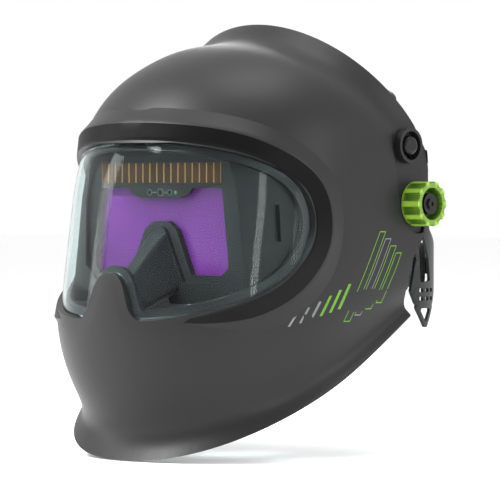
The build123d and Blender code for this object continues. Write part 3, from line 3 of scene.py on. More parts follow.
import bmesh
import bpy
import numpy as np
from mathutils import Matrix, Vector


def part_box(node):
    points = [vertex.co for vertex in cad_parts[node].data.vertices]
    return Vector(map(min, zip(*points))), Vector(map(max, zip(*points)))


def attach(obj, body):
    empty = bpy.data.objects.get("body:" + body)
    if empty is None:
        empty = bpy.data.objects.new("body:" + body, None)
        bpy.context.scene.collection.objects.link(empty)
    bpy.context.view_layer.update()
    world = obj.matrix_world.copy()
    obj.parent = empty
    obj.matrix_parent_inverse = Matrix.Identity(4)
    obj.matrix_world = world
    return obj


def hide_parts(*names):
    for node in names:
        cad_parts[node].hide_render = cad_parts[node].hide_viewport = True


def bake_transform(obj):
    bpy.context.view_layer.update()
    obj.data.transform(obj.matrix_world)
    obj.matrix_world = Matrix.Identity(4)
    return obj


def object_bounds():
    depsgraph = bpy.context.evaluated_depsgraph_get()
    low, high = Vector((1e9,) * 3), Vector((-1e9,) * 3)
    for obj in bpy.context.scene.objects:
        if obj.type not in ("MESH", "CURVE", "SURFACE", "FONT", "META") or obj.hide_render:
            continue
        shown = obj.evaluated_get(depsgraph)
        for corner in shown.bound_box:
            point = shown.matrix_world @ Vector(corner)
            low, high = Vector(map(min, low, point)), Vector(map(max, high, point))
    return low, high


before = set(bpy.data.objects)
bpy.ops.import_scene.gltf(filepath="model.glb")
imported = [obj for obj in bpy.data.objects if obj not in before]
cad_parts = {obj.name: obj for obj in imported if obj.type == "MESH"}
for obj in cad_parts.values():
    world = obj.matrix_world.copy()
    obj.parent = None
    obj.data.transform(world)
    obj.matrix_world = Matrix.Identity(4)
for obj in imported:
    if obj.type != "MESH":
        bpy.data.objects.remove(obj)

CAD_LOW, CAD_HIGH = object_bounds()
MM = 0.001

# --------------------------------------------------------------------------------------------------
# The shell's outer surface, as the CAD has it (millimetres and degrees)
# --------------------------------------------------------------------------------------------------
FAN_Y, FAN_Z = 76.6, -76.0
FRONT = [
    (126.5, 203), (131.5, 203.5), (140, 225), (150, 248), (160, 259.5), (168, 263), (176, 264),
    (183, 268.5), (190, 275), (196, 277.5), (201, 276.5), (205.5, 277), (207.5, 283), (210.5, 301),
]
SHAPES = [
    (126.5, -4, 104, 2.0), (132, -5, 104, 2.05), (145, -2, 108, 2.1), (160, 0, 112, 2.12),
    (175, 1, 118, 2.15), (190, 1, 126, 2.2), (199, -1, 130, 2.2), (205, -4, 136, 2.2),
    (210.5, 0, 154, 2.15),
]
HALF_WIDTH, TAPER = 110.0, 0.0004
REAR_EDGE = [(5, 30), (17, 13), (24, -7), (26, -27), (24, -46), (17, -64), (4, -79), (-2, -98), (0, -116)]
VISOR_Y = -140.0
VISOR = [(-27, 1), (4, -10), (32, -30), (40, -52), (34, -73), (10, -96), (-30, -114), (-50, -120)]


def smooth(keys, at, column=1):
    """A smooth curve through the keys."""
    xs = [k[0] for k in keys]
    ys = [k[column] for k in keys]
    steps = [(ys[i + 1] - ys[i]) / (xs[i + 1] - xs[i]) for i in range(len(xs) - 1)]
    slopes = [steps[0]]
    for i in range(1, len(steps)):
        before, after = xs[i] - xs[i - 1], xs[i + 1] - xs[i]
        slopes.append((steps[i - 1] * after + steps[i] * before) / (before + after))
    slopes.append(steps[-1])
    if at <= xs[0]:
        return ys[0] + slopes[0] * (at - xs[0])
    if at >= xs[-1]:
        return ys[-1] + slopes[-1] * (at - xs[-1])
    i = max(k for k in range(len(steps)) if xs[k] <= at)
    h = xs[i + 1] - xs[i]
    t = (at - xs[i]) / h
    start = (1 + 2 * t) * (1 - t) ** 2 * ys[i] + t * (1 - t) ** 2 * h * slopes[i]
    return start + t * t * (3 - 2 * t) * ys[i + 1] + t * t * (t - 1) * h * slopes[i + 1]


def half_width(y, z, inset=0.0):
    """Half the shell's width at a point of its side view. Negative past its front."""
    angle = math.degrees(math.atan2(z - FAN_Z, y - FAN_Y)) % 360
    radius = math.hypot(z - FAN_Z, y - FAN_Y)
    depth = smooth(SHAPES, angle, 2)
    centre = smooth(FRONT, angle) - depth
    width = HALF_WIDTH + smooth(SHAPES, angle, 1) - inset
    if radius <= centre:
        return width - TAPER * (centre - radius) ** 2
    power = smooth(SHAPES, angle, 3)
    share = 1 - ((radius - centre) / (depth - inset)) ** power
    return width * share ** (1 / power) if share > 0 else -1.0


def surface_normal(x, y, z):
    """Outward direction of the shell's surface at a point on it."""

    def level(a, b, c):
        angle = math.degrees(math.atan2(c - FAN_Z, b - FAN_Y)) % 360
        radius = math.hypot(c - FAN_Z, b - FAN_Y)
        depth = smooth(SHAPES, angle, 2)
        centre = smooth(FRONT, angle) - depth
        width = HALF_WIDTH + smooth(SHAPES, angle, 1)
        power = smooth(SHAPES, angle, 3)
        if radius <= centre:
            return abs(a) / (width - TAPER * (centre - radius) ** 2) - 1
        return ((abs(a) / width) ** power + ((radius - centre) / depth) ** power) ** (1 / power) - 1

    e = 0.2
    grad = Vector((
        level(x + e, y, z) - level(x - e, y, z),
        level(x, y + e, z) - level(x, y - e, z),
        level(x, y, z + e) - level(x, y, z - e),
    ))
    return grad.normalized()


def spline2(points, count):
    """count points along a smooth curve through 2-D points (centripetal Catmull-Rom)."""
    pts = [Vector(p) for p in points]
    pts = [2 * pts[0] - pts[1]] + pts + [2 * pts[-1] - pts[-2]]
    fine = []
    for i in range(1, len(pts) - 2):
        p0, p1, p2, p3 = pts[i - 1 : i + 3]
        for k in range(60):
            t = k / 60
            fine.append(
                0.5 * (2 * p1 + (p2 - p0) * t + (2 * p0 - 5 * p1 + 4 * p2 - p3) * t * t
                       + (3 * p1 - p0 - 3 * p2 + p3) * t**3)
            )
    fine.append(pts[-2])
    return resample([tuple(p) for p in fine], count)


def resample(points, count):
    """count points evenly spaced along a polyline."""
    pts = np.array(points, float)
    run = np.concatenate([[0], np.cumsum(np.linalg.norm(np.diff(pts, axis=0), axis=1))])
    at = np.linspace(0, run[-1], count)
    return list(zip(*[np.interp(at, run, pts[:, k]) for k in range(pts.shape[1])]))


# --------------------------------------------------------------------------------------------------
# Mesh helpers
# --------------------------------------------------------------------------------------------------
def mesh_object(name, points, faces, scale=MM, smooth_shading=True):
    """A mesh object from points in millimetres."""
    mesh = bpy.data.meshes.new(name)
    mesh.from_pydata([tuple(c * scale for c in p) for p in points], [], faces)
    mesh.validate()
    bm = bmesh.new()
    bm.from_mesh(mesh)
    bmesh.ops.remove_doubles(bm, verts=bm.verts, dist=1e-6)
    bmesh.ops.recalc_face_normals(bm, faces=bm.faces)
    bm.to_mesh(mesh)
    bm.free()
    for f in mesh.polygons:
        f.use_smooth = smooth_shading
    obj = bpy.data.objects.new(name, mesh)
    bpy.context.scene.collection.objects.link(obj)
    return obj


def grid_object(name, rows, closed_rows=False, closed_columns=False, caps=False):
    """A surface through rows of points. Rows may close on themselves, and so may the run of rows."""
    n, m = len(rows), len(rows[0])
    points = [p for row in rows for p in row]
    faces = []
    for i in range(n if closed_columns else n - 1):
        for j in range(m if closed_rows else m - 1):
            a, b = i * m + j, i * m + (j + 1) % m
            c, d = ((i + 1) % n) * m + (j + 1) % m, ((i + 1) % n) * m + j
            faces.append((a, b, c, d))
    if caps:
        faces.append(tuple(range(m)))
        faces.append(tuple((n - 1) * m + j for j in range(m)))
    return mesh_object(name, points, faces)


def tube(name, path, radius, sides):
    """A closed round tube along 3-D points in millimetres, with flat ends."""
    pts = [Vector(p) for p in path]
    rows = []
    up = None
    for i, p in enumerate(pts):
        ahead = (pts[min(i + 1, len(pts) - 1)] - pts[max(i - 1, 0)]).normalized()
        if up is None:
            up = ahead.orthogonal().normalized()
        up = (up - ahead * up.dot(ahead)).normalized()
        across = ahead.cross(up)
        turns = [2 * math.pi * k / sides for k in range(sides)]
        rows.append([tuple(p + radius * (up * math.cos(a) + across * math.sin(a))) for a in turns])
    return grid_object(name, rows, closed_rows=True, caps=True)


# --------------------------------------------------------------------------------------------------
# Materials
# --------------------------------------------------------------------------------------------------
def material(name, base, rough, grain=900.0, bump=0.15, spread=0.12, wear=0.0, wear_colour=None,
             metallic=0.0, rough_spread=0.08, coat=0.0, blotch=18.0, sheen=0.0, distance=0.0001,
             specular=0.3):
    """A moulded or machined surface: fine grain in the bump, slow drift in colour and roughness, and
    lighter wear on edges where wear is above 0. grain and blotch are in cycles per metre."""
    mat = bpy.data.materials.new(name)
    mat.use_nodes = True
    nt = mat.node_tree
    bsdf = nt.nodes["Principled BSDF"]
    bsdf.inputs["Metallic"].default_value = metallic
    bsdf.inputs["Coat Weight"].default_value = coat
    bsdf.inputs["Specular IOR Level"].default_value = specular
    bsdf.inputs["Sheen Weight"].default_value = sheen
    coords = nt.nodes.new("ShaderNodeTexCoord")
    slow = nt.nodes.new("ShaderNodeTexNoise")
    slow.inputs["Scale"].default_value = blotch
    slow.inputs["Detail"].default_value = 4
    fine = nt.nodes.new("ShaderNodeTexNoise")
    fine.inputs["Scale"].default_value = grain
    fine.inputs["Detail"].default_value = 3
    for tex in (slow, fine):
        nt.links.new(coords.outputs["Object"], tex.inputs["Vector"])
    ramp = nt.nodes.new("ShaderNodeValToRGB")
    ramp.color_ramp.elements[0].position = 0.3
    ramp.color_ramp.elements[1].position = 0.7
    ramp.color_ramp.elements[0].color = [c * (1 - spread) for c in base] + [1]
    ramp.color_ramp.elements[1].color = [min(1, c * (1 + spread)) for c in base] + [1]
    nt.links.new(slow.outputs["Fac"], ramp.inputs["Fac"])
    colour = ramp.outputs["Color"]
    if wear:
        geo = nt.nodes.new("ShaderNodeNewGeometry")
        edge = nt.nodes.new("ShaderNodeMapRange")
        edge.inputs["From Min"].default_value = 0.52
        edge.inputs["From Max"].default_value = 0.62
        edge.inputs["To Max"].default_value = wear
        mix = nt.nodes.new("ShaderNodeMix")
        mix.data_type = "RGBA"
        nt.links.new(geo.outputs["Pointiness"], edge.inputs["Value"])
        nt.links.new(edge.outputs["Result"], mix.inputs["Factor"])
        nt.links.new(colour, mix.inputs["A"])
        mix.inputs["B"].default_value = [*(wear_colour or [min(1, c * 2.2 + 0.02) for c in base]), 1]
        colour = mix.outputs["Result"]
    nt.links.new(colour, bsdf.inputs["Base Color"])
    roughness = nt.nodes.new("ShaderNodeMapRange")
    roughness.inputs["To Min"].default_value = max(0.02, rough - rough_spread)
    roughness.inputs["To Max"].default_value = min(1, rough + rough_spread)
    nt.links.new(slow.outputs["Fac"], roughness.inputs["Value"])
    nt.links.new(roughness.outputs["Result"], bsdf.inputs["Roughness"])
    relief = nt.nodes.new("ShaderNodeBump")
    relief.inputs["Strength"].default_value = bump
    relief.inputs["Distance"].default_value = distance
    nt.links.new(fine.outputs["Fac"], relief.inputs["Height"])
    nt.links.new(relief.outputs["Normal"], bsdf.inputs["Normal"])
    return mat


def cloth_material(name, base, weave=900.0, sheen=0.4):
    """Knitted terry cloth: two crossed waves with fuzzy loops."""
    mat = material(name, base, 0.9, grain=1400.0, bump=0.5, spread=0.25, sheen=sheen, distance=0.0004)
    nt = mat.node_tree
    bsdf = nt.nodes["Principled BSDF"]
    coords = nt.nodes["Texture Coordinate"]
    first = None
    for direction in ("X", "Z"):
        wave = nt.nodes.new("ShaderNodeTexWave")
        wave.bands_direction = direction
        wave.inputs["Scale"].default_value = weave
        wave.inputs["Distortion"].default_value = 1.5
        nt.links.new(coords.outputs["Object"], wave.inputs["Vector"])
        if first is None:
            first = wave
    join = nt.nodes.new("ShaderNodeMath")
    join.operation = "MULTIPLY"
    nt.links.new(first.outputs["Fac"], join.inputs[0])
    nt.links.new(wave.outputs["Fac"], join.inputs[1])
    loops = nt.nodes.new("ShaderNodeBump")
    loops.inputs["Strength"].default_value = 0.6
    loops.inputs["Distance"].default_value = 0.0005
    old = bsdf.inputs["Normal"].links[0].from_socket
    nt.links.new(old, loops.inputs["Normal"])
    nt.links.new(join.outputs["Value"], loops.inputs["Height"])
    nt.links.new(loops.outputs["Normal"], bsdf.inputs["Normal"])
    return mat


def clear_material(name, tint, rough, ior=1.2, smear=0.05):
    """Clear polycarbonate that lets lamps through, with faint wiping marks in its gloss."""
    mat = bpy.data.materials.new(name)
    mat.use_nodes = True
    nt = mat.node_tree
    bsdf = nt.nodes["Principled BSDF"]
    bsdf.inputs["Base Color"].default_value = [*tint, 1]
    bsdf.inputs["Transmission Weight"].default_value = 1.0
    bsdf.inputs["IOR"].default_value = ior
    coords = nt.nodes.new("ShaderNodeTexCoord")
    noise = nt.nodes.new("ShaderNodeTexNoise")
    noise.inputs["Scale"].default_value = 60
    noise.inputs["Detail"].default_value = 6
    nt.links.new(coords.outputs["Object"], noise.inputs["Vector"])
    gloss = nt.nodes.new("ShaderNodeMapRange")
    gloss.inputs["From Min"].default_value = 0.5
    gloss.inputs["From Max"].default_value = 0.8
    gloss.inputs["To Min"].default_value = rough
    gloss.inputs["To Max"].default_value = rough + smear
    nt.links.new(noise.outputs["Fac"], gloss.inputs["Value"])
    nt.links.new(gloss.outputs["Result"], bsdf.inputs["Roughness"])
    path = nt.nodes.new("ShaderNodeLightPath")
    through = nt.nodes.new("ShaderNodeBsdfTransparent")
    through.inputs["Color"].default_value = [*tint, 1]
    mix = nt.nodes.new("ShaderNodeMixShader")
    out = nt.nodes["Material Output"]
    nt.links.new(path.outputs["Is Shadow Ray"], mix.inputs[0])
    nt.links.new(bsdf.outputs["BSDF"], mix.inputs[1])
    nt.links.new(through.outputs["BSDF"], mix.inputs[2])
    nt.links.new(mix.outputs["Shader"], out.inputs["Surface"])
    return mat


def solar_material(name, dark, light, pitch, start):
    """Amber solar film with fine light contact lines across it every pitch, in metres."""
    mat = material(name, dark, 0.4, grain=2500.0, bump=0.05, spread=0.2, coat=0.05, blotch=60.0,
                   specular=0.15)
    nt = mat.node_tree
    bsdf = nt.nodes["Principled BSDF"]
    coords = nt.nodes["Texture Coordinate"]
    split = nt.nodes.new("ShaderNodeSeparateXYZ")
    nt.links.new(coords.outputs["Object"], split.inputs["Vector"])
    shift = nt.nodes.new("ShaderNodeMath")
    shift.operation = "ADD"
    shift.inputs[1].default_value = -start
    wrap = nt.nodes.new("ShaderNodeMath")
    wrap.operation = "PINGPONG"
    wrap.inputs[1].default_value = pitch / 2
    line = nt.nodes.new("ShaderNodeMath")
    line.operation = "LESS_THAN"
    line.inputs[1].default_value = 0.0005
    nt.links.new(split.outputs["X"], shift.inputs[0])
    nt.links.new(shift.outputs["Value"], wrap.inputs[0])
    nt.links.new(wrap.outputs["Value"], line.inputs[0])
    mix = nt.nodes.new("ShaderNodeMix")
    mix.data_type = "RGBA"
    nt.links.new(line.outputs["Value"], mix.inputs["Factor"])
    nt.links.new(bsdf.inputs["Base Color"].links[0].from_socket, mix.inputs["A"])
    mix.inputs["B"].default_value = [*light, 1]
    nt.links.new(mix.outputs["Result"], bsdf.inputs["Base Color"])
    return mat


def band_with_painted_shade(mat, painted_shade_colour, from_z, to_z):
    """Painted shade: the band's colour turns from its own, at from_z and below, to painted_shade_colour at
    to_z and above, so the band's upper part, which faces down, is painted dark.
    """
    nt = mat.node_tree
    bsdf = nt.nodes["Principled BSDF"]
    split = nt.nodes.new("ShaderNodeSeparateXYZ")
    share = nt.nodes.new("ShaderNodeMapRange")
    share.inputs["From Min"].default_value = from_z
    share.inputs["From Max"].default_value = to_z
    mix = nt.nodes.new("ShaderNodeMix")
    mix.data_type = "RGBA"
    nt.links.new(nt.nodes["Texture Coordinate"].outputs["Object"], split.inputs["Vector"])
    nt.links.new(split.outputs["Z"], share.inputs["Value"])
    nt.links.new(share.outputs["Result"], mix.inputs["Factor"])
    nt.links.new(bsdf.inputs["Base Color"].links[0].from_socket, mix.inputs["A"])
    mix.inputs["B"].default_value = [*painted_shade_colour, 1]
    nt.links.new(mix.outputs["Result"], bsdf.inputs["Base Color"])
    return mat


def dark_hub(mat, colour, y, z, radius):
    """Black inside a radius from the knob's axis, where its separate hub is."""
    nt = mat.node_tree
    bsdf = nt.nodes["Principled BSDF"]
    flatten = nt.nodes.new("ShaderNodeVectorMath")
    flatten.operation = "MULTIPLY"
    flatten.inputs[1].default_value = (0, 1, 1)
    span = nt.nodes.new("ShaderNodeVectorMath")
    span.operation = "DISTANCE"
    span.inputs[1].default_value = (0, y, z)
    inside = nt.nodes.new("ShaderNodeMath")
    inside.operation = "LESS_THAN"
    inside.inputs[1].default_value = radius
    mix = nt.nodes.new("ShaderNodeMix")
    mix.data_type = "RGBA"
    nt.links.new(nt.nodes["Texture Coordinate"].outputs["Object"], flatten.inputs[0])
    nt.links.new(flatten.outputs["Vector"], span.inputs[0])
    nt.links.new(span.outputs["Value"], inside.inputs[0])
    nt.links.new(inside.outputs["Value"], mix.inputs["Factor"])
    nt.links.new(bsdf.inputs["Base Color"].links[0].from_socket, mix.inputs["A"])
    mix.inputs["B"].default_value = [*colour, 1]
    nt.links.new(mix.outputs["Result"], bsdf.inputs["Base Color"])
    return mat


# the solar strip's width in metres and its number of cells; the knob's axis and hub, in metres
SOLAR_WIDTH, SOLAR_CELLS = 0.114, 17
KNOB_AT, HUB_RADIUS = (0.011, -0.041), 0.0079
# heights in metres over which painted shade darkens the brow band upwards, where it faces down
BAND_PAINTED_SHADE_START_Z, BAND_PAINTED_SHADE_FULL_Z = -0.085, -0.045

MATERIALS = {
    "shell": material("shell_moulded", (0.0085, 0.0085, 0.0090), 0.43, grain=1500, bump=0.18, spread=0.06,
                      wear=0.08, blotch=9, specular=0.30),
    "rim_black": material("rim_rubber", (0.004, 0.004, 0.0045), 0.45, grain=1200, bump=0.3, specular=0.2),
    # the brow band: black moulding, with painted shade that darkens its upper part, which faces down
    "brow": band_with_painted_shade(
        material("brow_moulded_painted_shade", (0.0075, 0.0073, 0.0076), 0.45, grain=1500, bump=0.18, spread=0.06,
                 specular=0.10),
        (0.0012, 0.0011, 0.0012), BAND_PAINTED_SHADE_START_Z, BAND_PAINTED_SHADE_FULL_Z
    ),
    "lens": clear_material("lens_clear", (0.86, 0.955, 0.95), 0.02, ior=1.16),
    "inner_lens": clear_material("inner_lens_clear", (0.9, 0.94, 0.93), 0.03),
    "filter": material("filter_purple", (0.118, 0.0225, 0.165), 0.14, grain=40, bump=0.02, spread=0.16,
                       coat=0.35, blotch=14, rough_spread=0.03),
    "solar": solar_material("solar_amber", (0.052, 0.019, 0.004), (0.46, 0.27, 0.11),
                            SOLAR_WIDTH / SOLAR_CELLS, -SOLAR_WIDTH / 2),
    "cassette": material("cassette_black", (0.010, 0.009, 0.010), 0.5, grain=1800, bump=0.12, wear=0.1,
                         specular=0.22),
    "carrier": material("carrier_grey", (0.009, 0.0085, 0.009), 0.48, grain=1400, bump=0.12, wear=0.1,
                        specular=0.2),
    "sensor": material("sensor_dark", (0.004, 0.003, 0.004), 0.12, grain=500, bump=0.02, coat=0.4),
    "led": material("led_green", (0.05, 0.35, 0.06), 0.15, grain=500, bump=0.05, coat=0.5),
    "board": material("board_green", (0.02, 0.11, 0.045), 0.4, grain=900, bump=0.3, spread=0.3, blotch=300),
    "foil": material("battery_foil", (0.55, 0.55, 0.57), 0.32, grain=300, bump=0.5, metallic=0.9,
                     distance=0.0003),
    "steel": material("zinc_steel", (0.5, 0.5, 0.51), 0.3, grain=2500, bump=0.2, metallic=1.0, spread=0.15,
                      blotch=150),
    "green": dark_hub(
        material("knob_green", (0.045, 0.115, 0.010), 0.38, grain=1600, bump=0.15, spread=0.08, wear=1.0,
                 wear_colour=(0.30, 0.50, 0.05), coat=0.1),
        (0.004, 0.004, 0.0045), *KNOB_AT, HUB_RADIUS
    ),
    "black": material("moulded_black", (0.0045, 0.0045, 0.005), 0.36, grain=1500, bump=0.12, wear=0.1,
                      specular=0.28),
    "headgear": material("headgear_nylon", (0.010, 0.0125, 0.013), 0.42, grain=1300, bump=0.2, wear=0.2),
    "cable": material("cable_sheath", (0.006, 0.006, 0.0065), 0.5, grain=1000, bump=0.3),
    "cloth": cloth_material("sweatband_terry", (0.020, 0.020, 0.022)),
    "lime": material("decal_green", (0.10, 0.25, 0.015), 0.42, grain=1500, bump=0.1, spread=0.12, blotch=80),
    "pale": material("decal_grey", (0.16, 0.165, 0.17), 0.45, grain=1500, bump=0.1, spread=0.12, blotch=80),
}

BY_SLOT = {
    "shell_black": "shell", "clear_lens": "lens", "filter_purple": "filter", "solar_amber": "solar",
    "cassette_black": "cassette", "carrier_grey": "carrier", "sensor_dark": "sensor", "led_green": "led",
    "board_green": "board", "battery_foil": "foil", "steel": "steel", "green_plastic": "green",
    "black_plastic": "black", "headgear_grey": "headgear", "cable_black": "cable", "sweatband_cloth": "cloth",
}
for node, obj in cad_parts.items():
    for index, held in enumerate(obj.material_slots):
        slot_name = held.material.name.split(".")[0]
        if slot_name not in BY_SLOT:
            raise SystemExit(f"{node} has the slot {slot_name}, which has no look here")
        held.material = MATERIALS[BY_SLOT[slot_name]]
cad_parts["inner_cover_lens"].material_slots[0].material = MATERIALS["inner_lens"]


def place(obj, body, look):
    """Gives a new piece its look and the body it moves with."""
    obj.data.materials.clear()
    obj.data.materials.append(MATERIALS[look])
    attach(obj, body)
    return obj


# --------------------------------------------------------------------------------------------------
# Raised surround of the visor opening: a brow that faces down, and a lower band that faces up
# --------------------------------------------------------------------------------------------------
def offset_curve(points, distance):
    """A 2-D curve moved sideways, to the left of its direction."""
    moved = []
    for i, (u, v) in enumerate(points):
        u0, v0 = points[max(i - 1, 0)]
        u1, v1 = points[min(i + 1, len(points) - 1)]
        length = math.hypot(u1 - u0, v1 - v0)
        moved.append((u - distance * (v1 - v0) / length, v + distance * (u1 - u0) / length))
    return moved


FORE_TOP = (-75.0, 9.5)
edge_keys = [FORE_TOP] + VISOR
edge_side = [(y + VISOR_Y, z) for y, z in spline2(edge_keys, 500)]
# the surround's section, in millimetres: how far from the opening's edge, how high above the shell
SECTION = [
    (0.7, -0.4), (0.9, 0.4), (3.0, 0.9), (7.0, 1.9), (11.2, 3.1), (11.9, 3.35), (12.6, 3.3), (15.0, 2.6),
    (19.0, 1.3), (24.0, 0.3), (28.0, -0.5),
]
CREASE = 5  # the section's point on the crease: the band inside it is dark, with painted shade on its upper part, which faces down
COLUMNS = 150
TAPERED = 34  # columns over which the surround narrows to nothing beside the nose
FADED = 22  # columns over which it sinks to the shell's surface


def surround_row(away, lift):
    """One line of the surround, from the middle of the brow round the wearer's left to the chin."""
    line = []
    for y, z in offset_curve(edge_side, away):
        x = half_width(y, z)
        if x >= 0:
            line.append((x, y, z))
    line.insert(0, (0.0, line[0][1], line[0][2]))
    line = resample(line, COLUMNS)
    row = []
    for k, (x, y, z) in enumerate(line):
        normal = surface_normal(max(x, 0.01), y, z)
        fade = min(1.0, (COLUMNS - 1 - k) / FADED)
        height = lift * fade if lift > 0 else lift
        row.append((x + normal.x * height if x > 0.02 else 0.0, y + normal.y * height, z + normal.z * height))
    return row


rows = [surround_row(away, lift) for away, lift in SECTION]
for row in rows[1:]:
    for k in range(COLUMNS - TAPERED, COLUMNS):
        share = 1 - (k - (COLUMNS - TAPERED)) / (TAPERED - 1)
        share = share * share * (3 - 2 * share)
        row[k] = tuple(a + (b - a) * share for a, b in zip(rows[0][k], row[k]))
full = [[(-x, y, z) for x, y, z in reversed(row[1:])] + row for row in rows]
surround = grid_object("visor_surround", full[CREASE:])
place(surround, "helmet", "shell")
# the band inside the crease, darkened upwards by painted shade where it faces down
band = grid_object("visor_band", full[: CREASE + 1])
place(band, "helmet", "brow")


# --------------------------------------------------------------------------------------------------
# Beads on the shell's edges
# --------------------------------------------------------------------------------------------------
rear_line = [(y - 0.6, z) for y, z in spline2(REAR_EDGE, 110) if -113 < z < -9]
for side, label in ((1, "left"), (-1, "right")):
    path = [(side * (half_width(y, z) - 1.2), y, z) for y, z in rear_line]
    place(tube(f"rear_lip_{label}", path, 0.95, sides=10), "helmet", "rim_black")


# --------------------------------------------------------------------------------------------------
# Side graphic: plain slanted bars that shorten towards the front
# --------------------------------------------------------------------------------------------------
DECAL_LIFT, DECAL_SINK = 0.12, 0.1  # how far a decal stands out of the shell and reaches into it


def surface_patch(name, corners, lift=DECAL_LIFT, steps=10):
    """A thin four-cornered decal on the wearer's left of the shell, from (y, z) corners."""
    a, b, c, d = corners
    top, bottom = [], []
    for i in range(steps + 1):
        u = i / steps
        row_top, row_bottom = [], []
        for j in range(steps + 1):
            v = j / steps
            y = (1 - v) * ((1 - u) * a[0] + u * b[0]) + v * ((1 - u) * d[0] + u * c[0])
            z = (1 - v) * ((1 - u) * a[1] + u * b[1]) + v * ((1 - u) * d[1] + u * c[1])
            x = half_width(y, z)
            n = surface_normal(x, y, z)
            row_top.append((x + n.x * lift, y + n.y * lift, z + n.z * lift))
            row_bottom.append((x - n.x * DECAL_SINK, y - n.y * DECAL_SINK, z - n.z * DECAL_SINK))
        top.append(row_top)
        bottom.append(row_bottom)
    m = steps + 1
    points = [p for row in top for p in row] + [p for row in bottom for p in row]
    size = m * m
    faces = []
    for i in range(steps):
        for j in range(steps):
            q = (i * m + j, i * m + j + 1, (i + 1) * m + j + 1, (i + 1) * m + j)
            faces.append(q)
            faces.append(tuple(size + k for k in reversed(q)))
    ring = [j for j in range(m)] + [i * m + steps for i in range(1, m)]
    ring += [steps * m + j for j in range(steps - 1, -1, -1)] + [i * m for i in range(steps - 1, 0, -1)]
    for k, p in enumerate(ring):
        q = ring[(k + 1) % len(ring)]
        faces.append((p, size + p, size + q, q))
    return mesh_object(name, points, faces, smooth_shading=False)


LEAN = 0.62  # how far a bar leans back for each millimetre it rises


def slanted_bar(base_y, base_z, length, wide):
    """Corners of a bar that leans back as it rises, from its lower front corner."""
    top_y, top_z = base_y + LEAN * length, base_z + length
    return [(base_y, base_z), (base_y + wide, base_z), (top_y + wide, top_z), (top_y, top_z)]


def bar_outline(name, base_y, base_z, length, wide, look, line=0.7):
    """A slanted bar drawn as a thin outline: two long sides and two ends."""
    top_y, top_z = base_y + LEAN * length, base_z + length
    slip = LEAN * line
    sides = [
        slanted_bar(base_y, base_z, length, line),
        slanted_bar(base_y + wide - line, base_z, length, line),
        [(base_y, base_z), (base_y + wide, base_z), (base_y + wide + slip, base_z + line),
         (base_y + slip, base_z + line)],
        [(top_y - slip, top_z - line), (top_y + wide - slip, top_z - line), (top_y + wide, top_z),
         (top_y, top_z)],
    ]
    for k, corners in enumerate(sides):
        piece = surface_patch(f"{name}_{k + 1}", corners, lift=DECAL_LIFT + 0.01 * (k > 1))
        place(piece, "helmet", look)


# solid bars that shorten forwards, with open bars behind them
for i in range(6):
    bar_length = 17.0 - 1.6 * i
    corners = slanted_bar(-80.0 - 8.5 * i, -113.0 - 2.2 * i, bar_length, 3.0 - 0.25 * i)
    look = "lime" if i < 3 else "pale"
    place(surface_patch(f"side_bar_{i + 1}", corners), "helmet", look)
for i in range(4):
    look = "pale" if i == 1 else "lime"
    bar_outline(f"side_frame_{i + 1}", -73.0 + 11.5 * i, -122.0 + 4.0 * i, 62.0 - 9.0 * i, 7.0, look)


# --------------------------------------------------------------------------------------------------
# Small marks on the cassette, and the dark catches behind the wings' slots
# --------------------------------------------------------------------------------------------------
RING_LIFT = 0.12
CATCH_INSETS, CATCH_YS, CATCH_ZS = (12.6, 14.4), (-126.0, -116.0), (-70.5, -37.5)


def ring_mark(name, x, z, y, inner, outer, look, sides=32):
    """A thin raised ring on the cassette's front face."""
    turns = [2 * math.pi * k / sides for k in range(sides)]
    rows = []
    for r, front in ((inner, y), (inner, y - RING_LIFT), (outer, y - RING_LIFT), (outer, y)):
        rows.append([(x + r * math.cos(a), front, z + r * math.sin(a)) for a in turns])
    ring = grid_object(name, rows, closed_rows=True, closed_columns=True)
    for f in ring.data.polygons:
        f.use_smooth = False
    place(ring, "helmet", look)


def block(name, corner_points):
    """A straight-sided block from its eight corners."""
    sides = [(0, 1, 3, 2), (4, 6, 7, 5), (0, 4, 5, 1), (2, 3, 7, 6), (0, 2, 6, 4), (1, 5, 7, 3)]
    return mesh_object(name, corner_points, sides, smooth_shading=False)


FACE_Y, MARK_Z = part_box("filter_housing")[0].y / MM, -33.0
DASH_YS, DASH_HALF = (FACE_Y - 0.1, FACE_Y + 0.05), 0.3
FRAME_SCREWS = [(62.5, -15.0), (69.0, -81.0)]
ring_mark("sensor_ring_left", -10.5, MARK_Z, FACE_Y, 1.8, 2.15, "pale")
ring_mark("sensor_ring_right", 9.0, MARK_Z, FACE_Y, 1.8, 2.15, "pale")
ring_mark("sensor_ring_middle", 0.0, MARK_Z, FACE_Y, 2.5, 2.95, "pale", sides=6)
ring_mark("status_ring", 14.5, MARK_Z, FACE_Y, 1.0, 1.3, "pale")
for k, (x0, x1) in enumerate([(-7.6, -4.4), (4.2, 6.0)]):
    dash = block(
        f"sensor_dash_{k + 1}",
        [(x, y, z) for x in (x0, x1) for y in DASH_YS for z in (MARK_Z - DASH_HALF, MARK_Z + DASH_HALF)],
    )
    place(dash, "helmet", "pale")
for side in (1, -1):
    for k, (x, z) in enumerate(FRAME_SCREWS):
        name = f"frame_socket_{'left' if side > 0 else 'right'}_{k + 1}"
        ring_mark(name, side * x, z, FACE_Y, 0.15, 1.2, "rim_black", sides=20)
for side, label in ((1, "left"), (-1, "right")):
    points = [
        (side * half_width(y, z, inset), y, z) for inset in CATCH_INSETS for y in CATCH_YS for z in CATCH_ZS
    ]
    catch = block(f"wing_catch_{label}", points)
    place(catch, "helmet", "rim_black")


# --------------------------------------------------------------------------------------------------
# Soft pads of the headgear
# --------------------------------------------------------------------------------------------------
BAND_X, BAND_FRONT_Y, BAND_BACK_Y, NAPE_FLAT, NAPE_R = 80.0, -100.0, 88.0, 36.0, 44.0


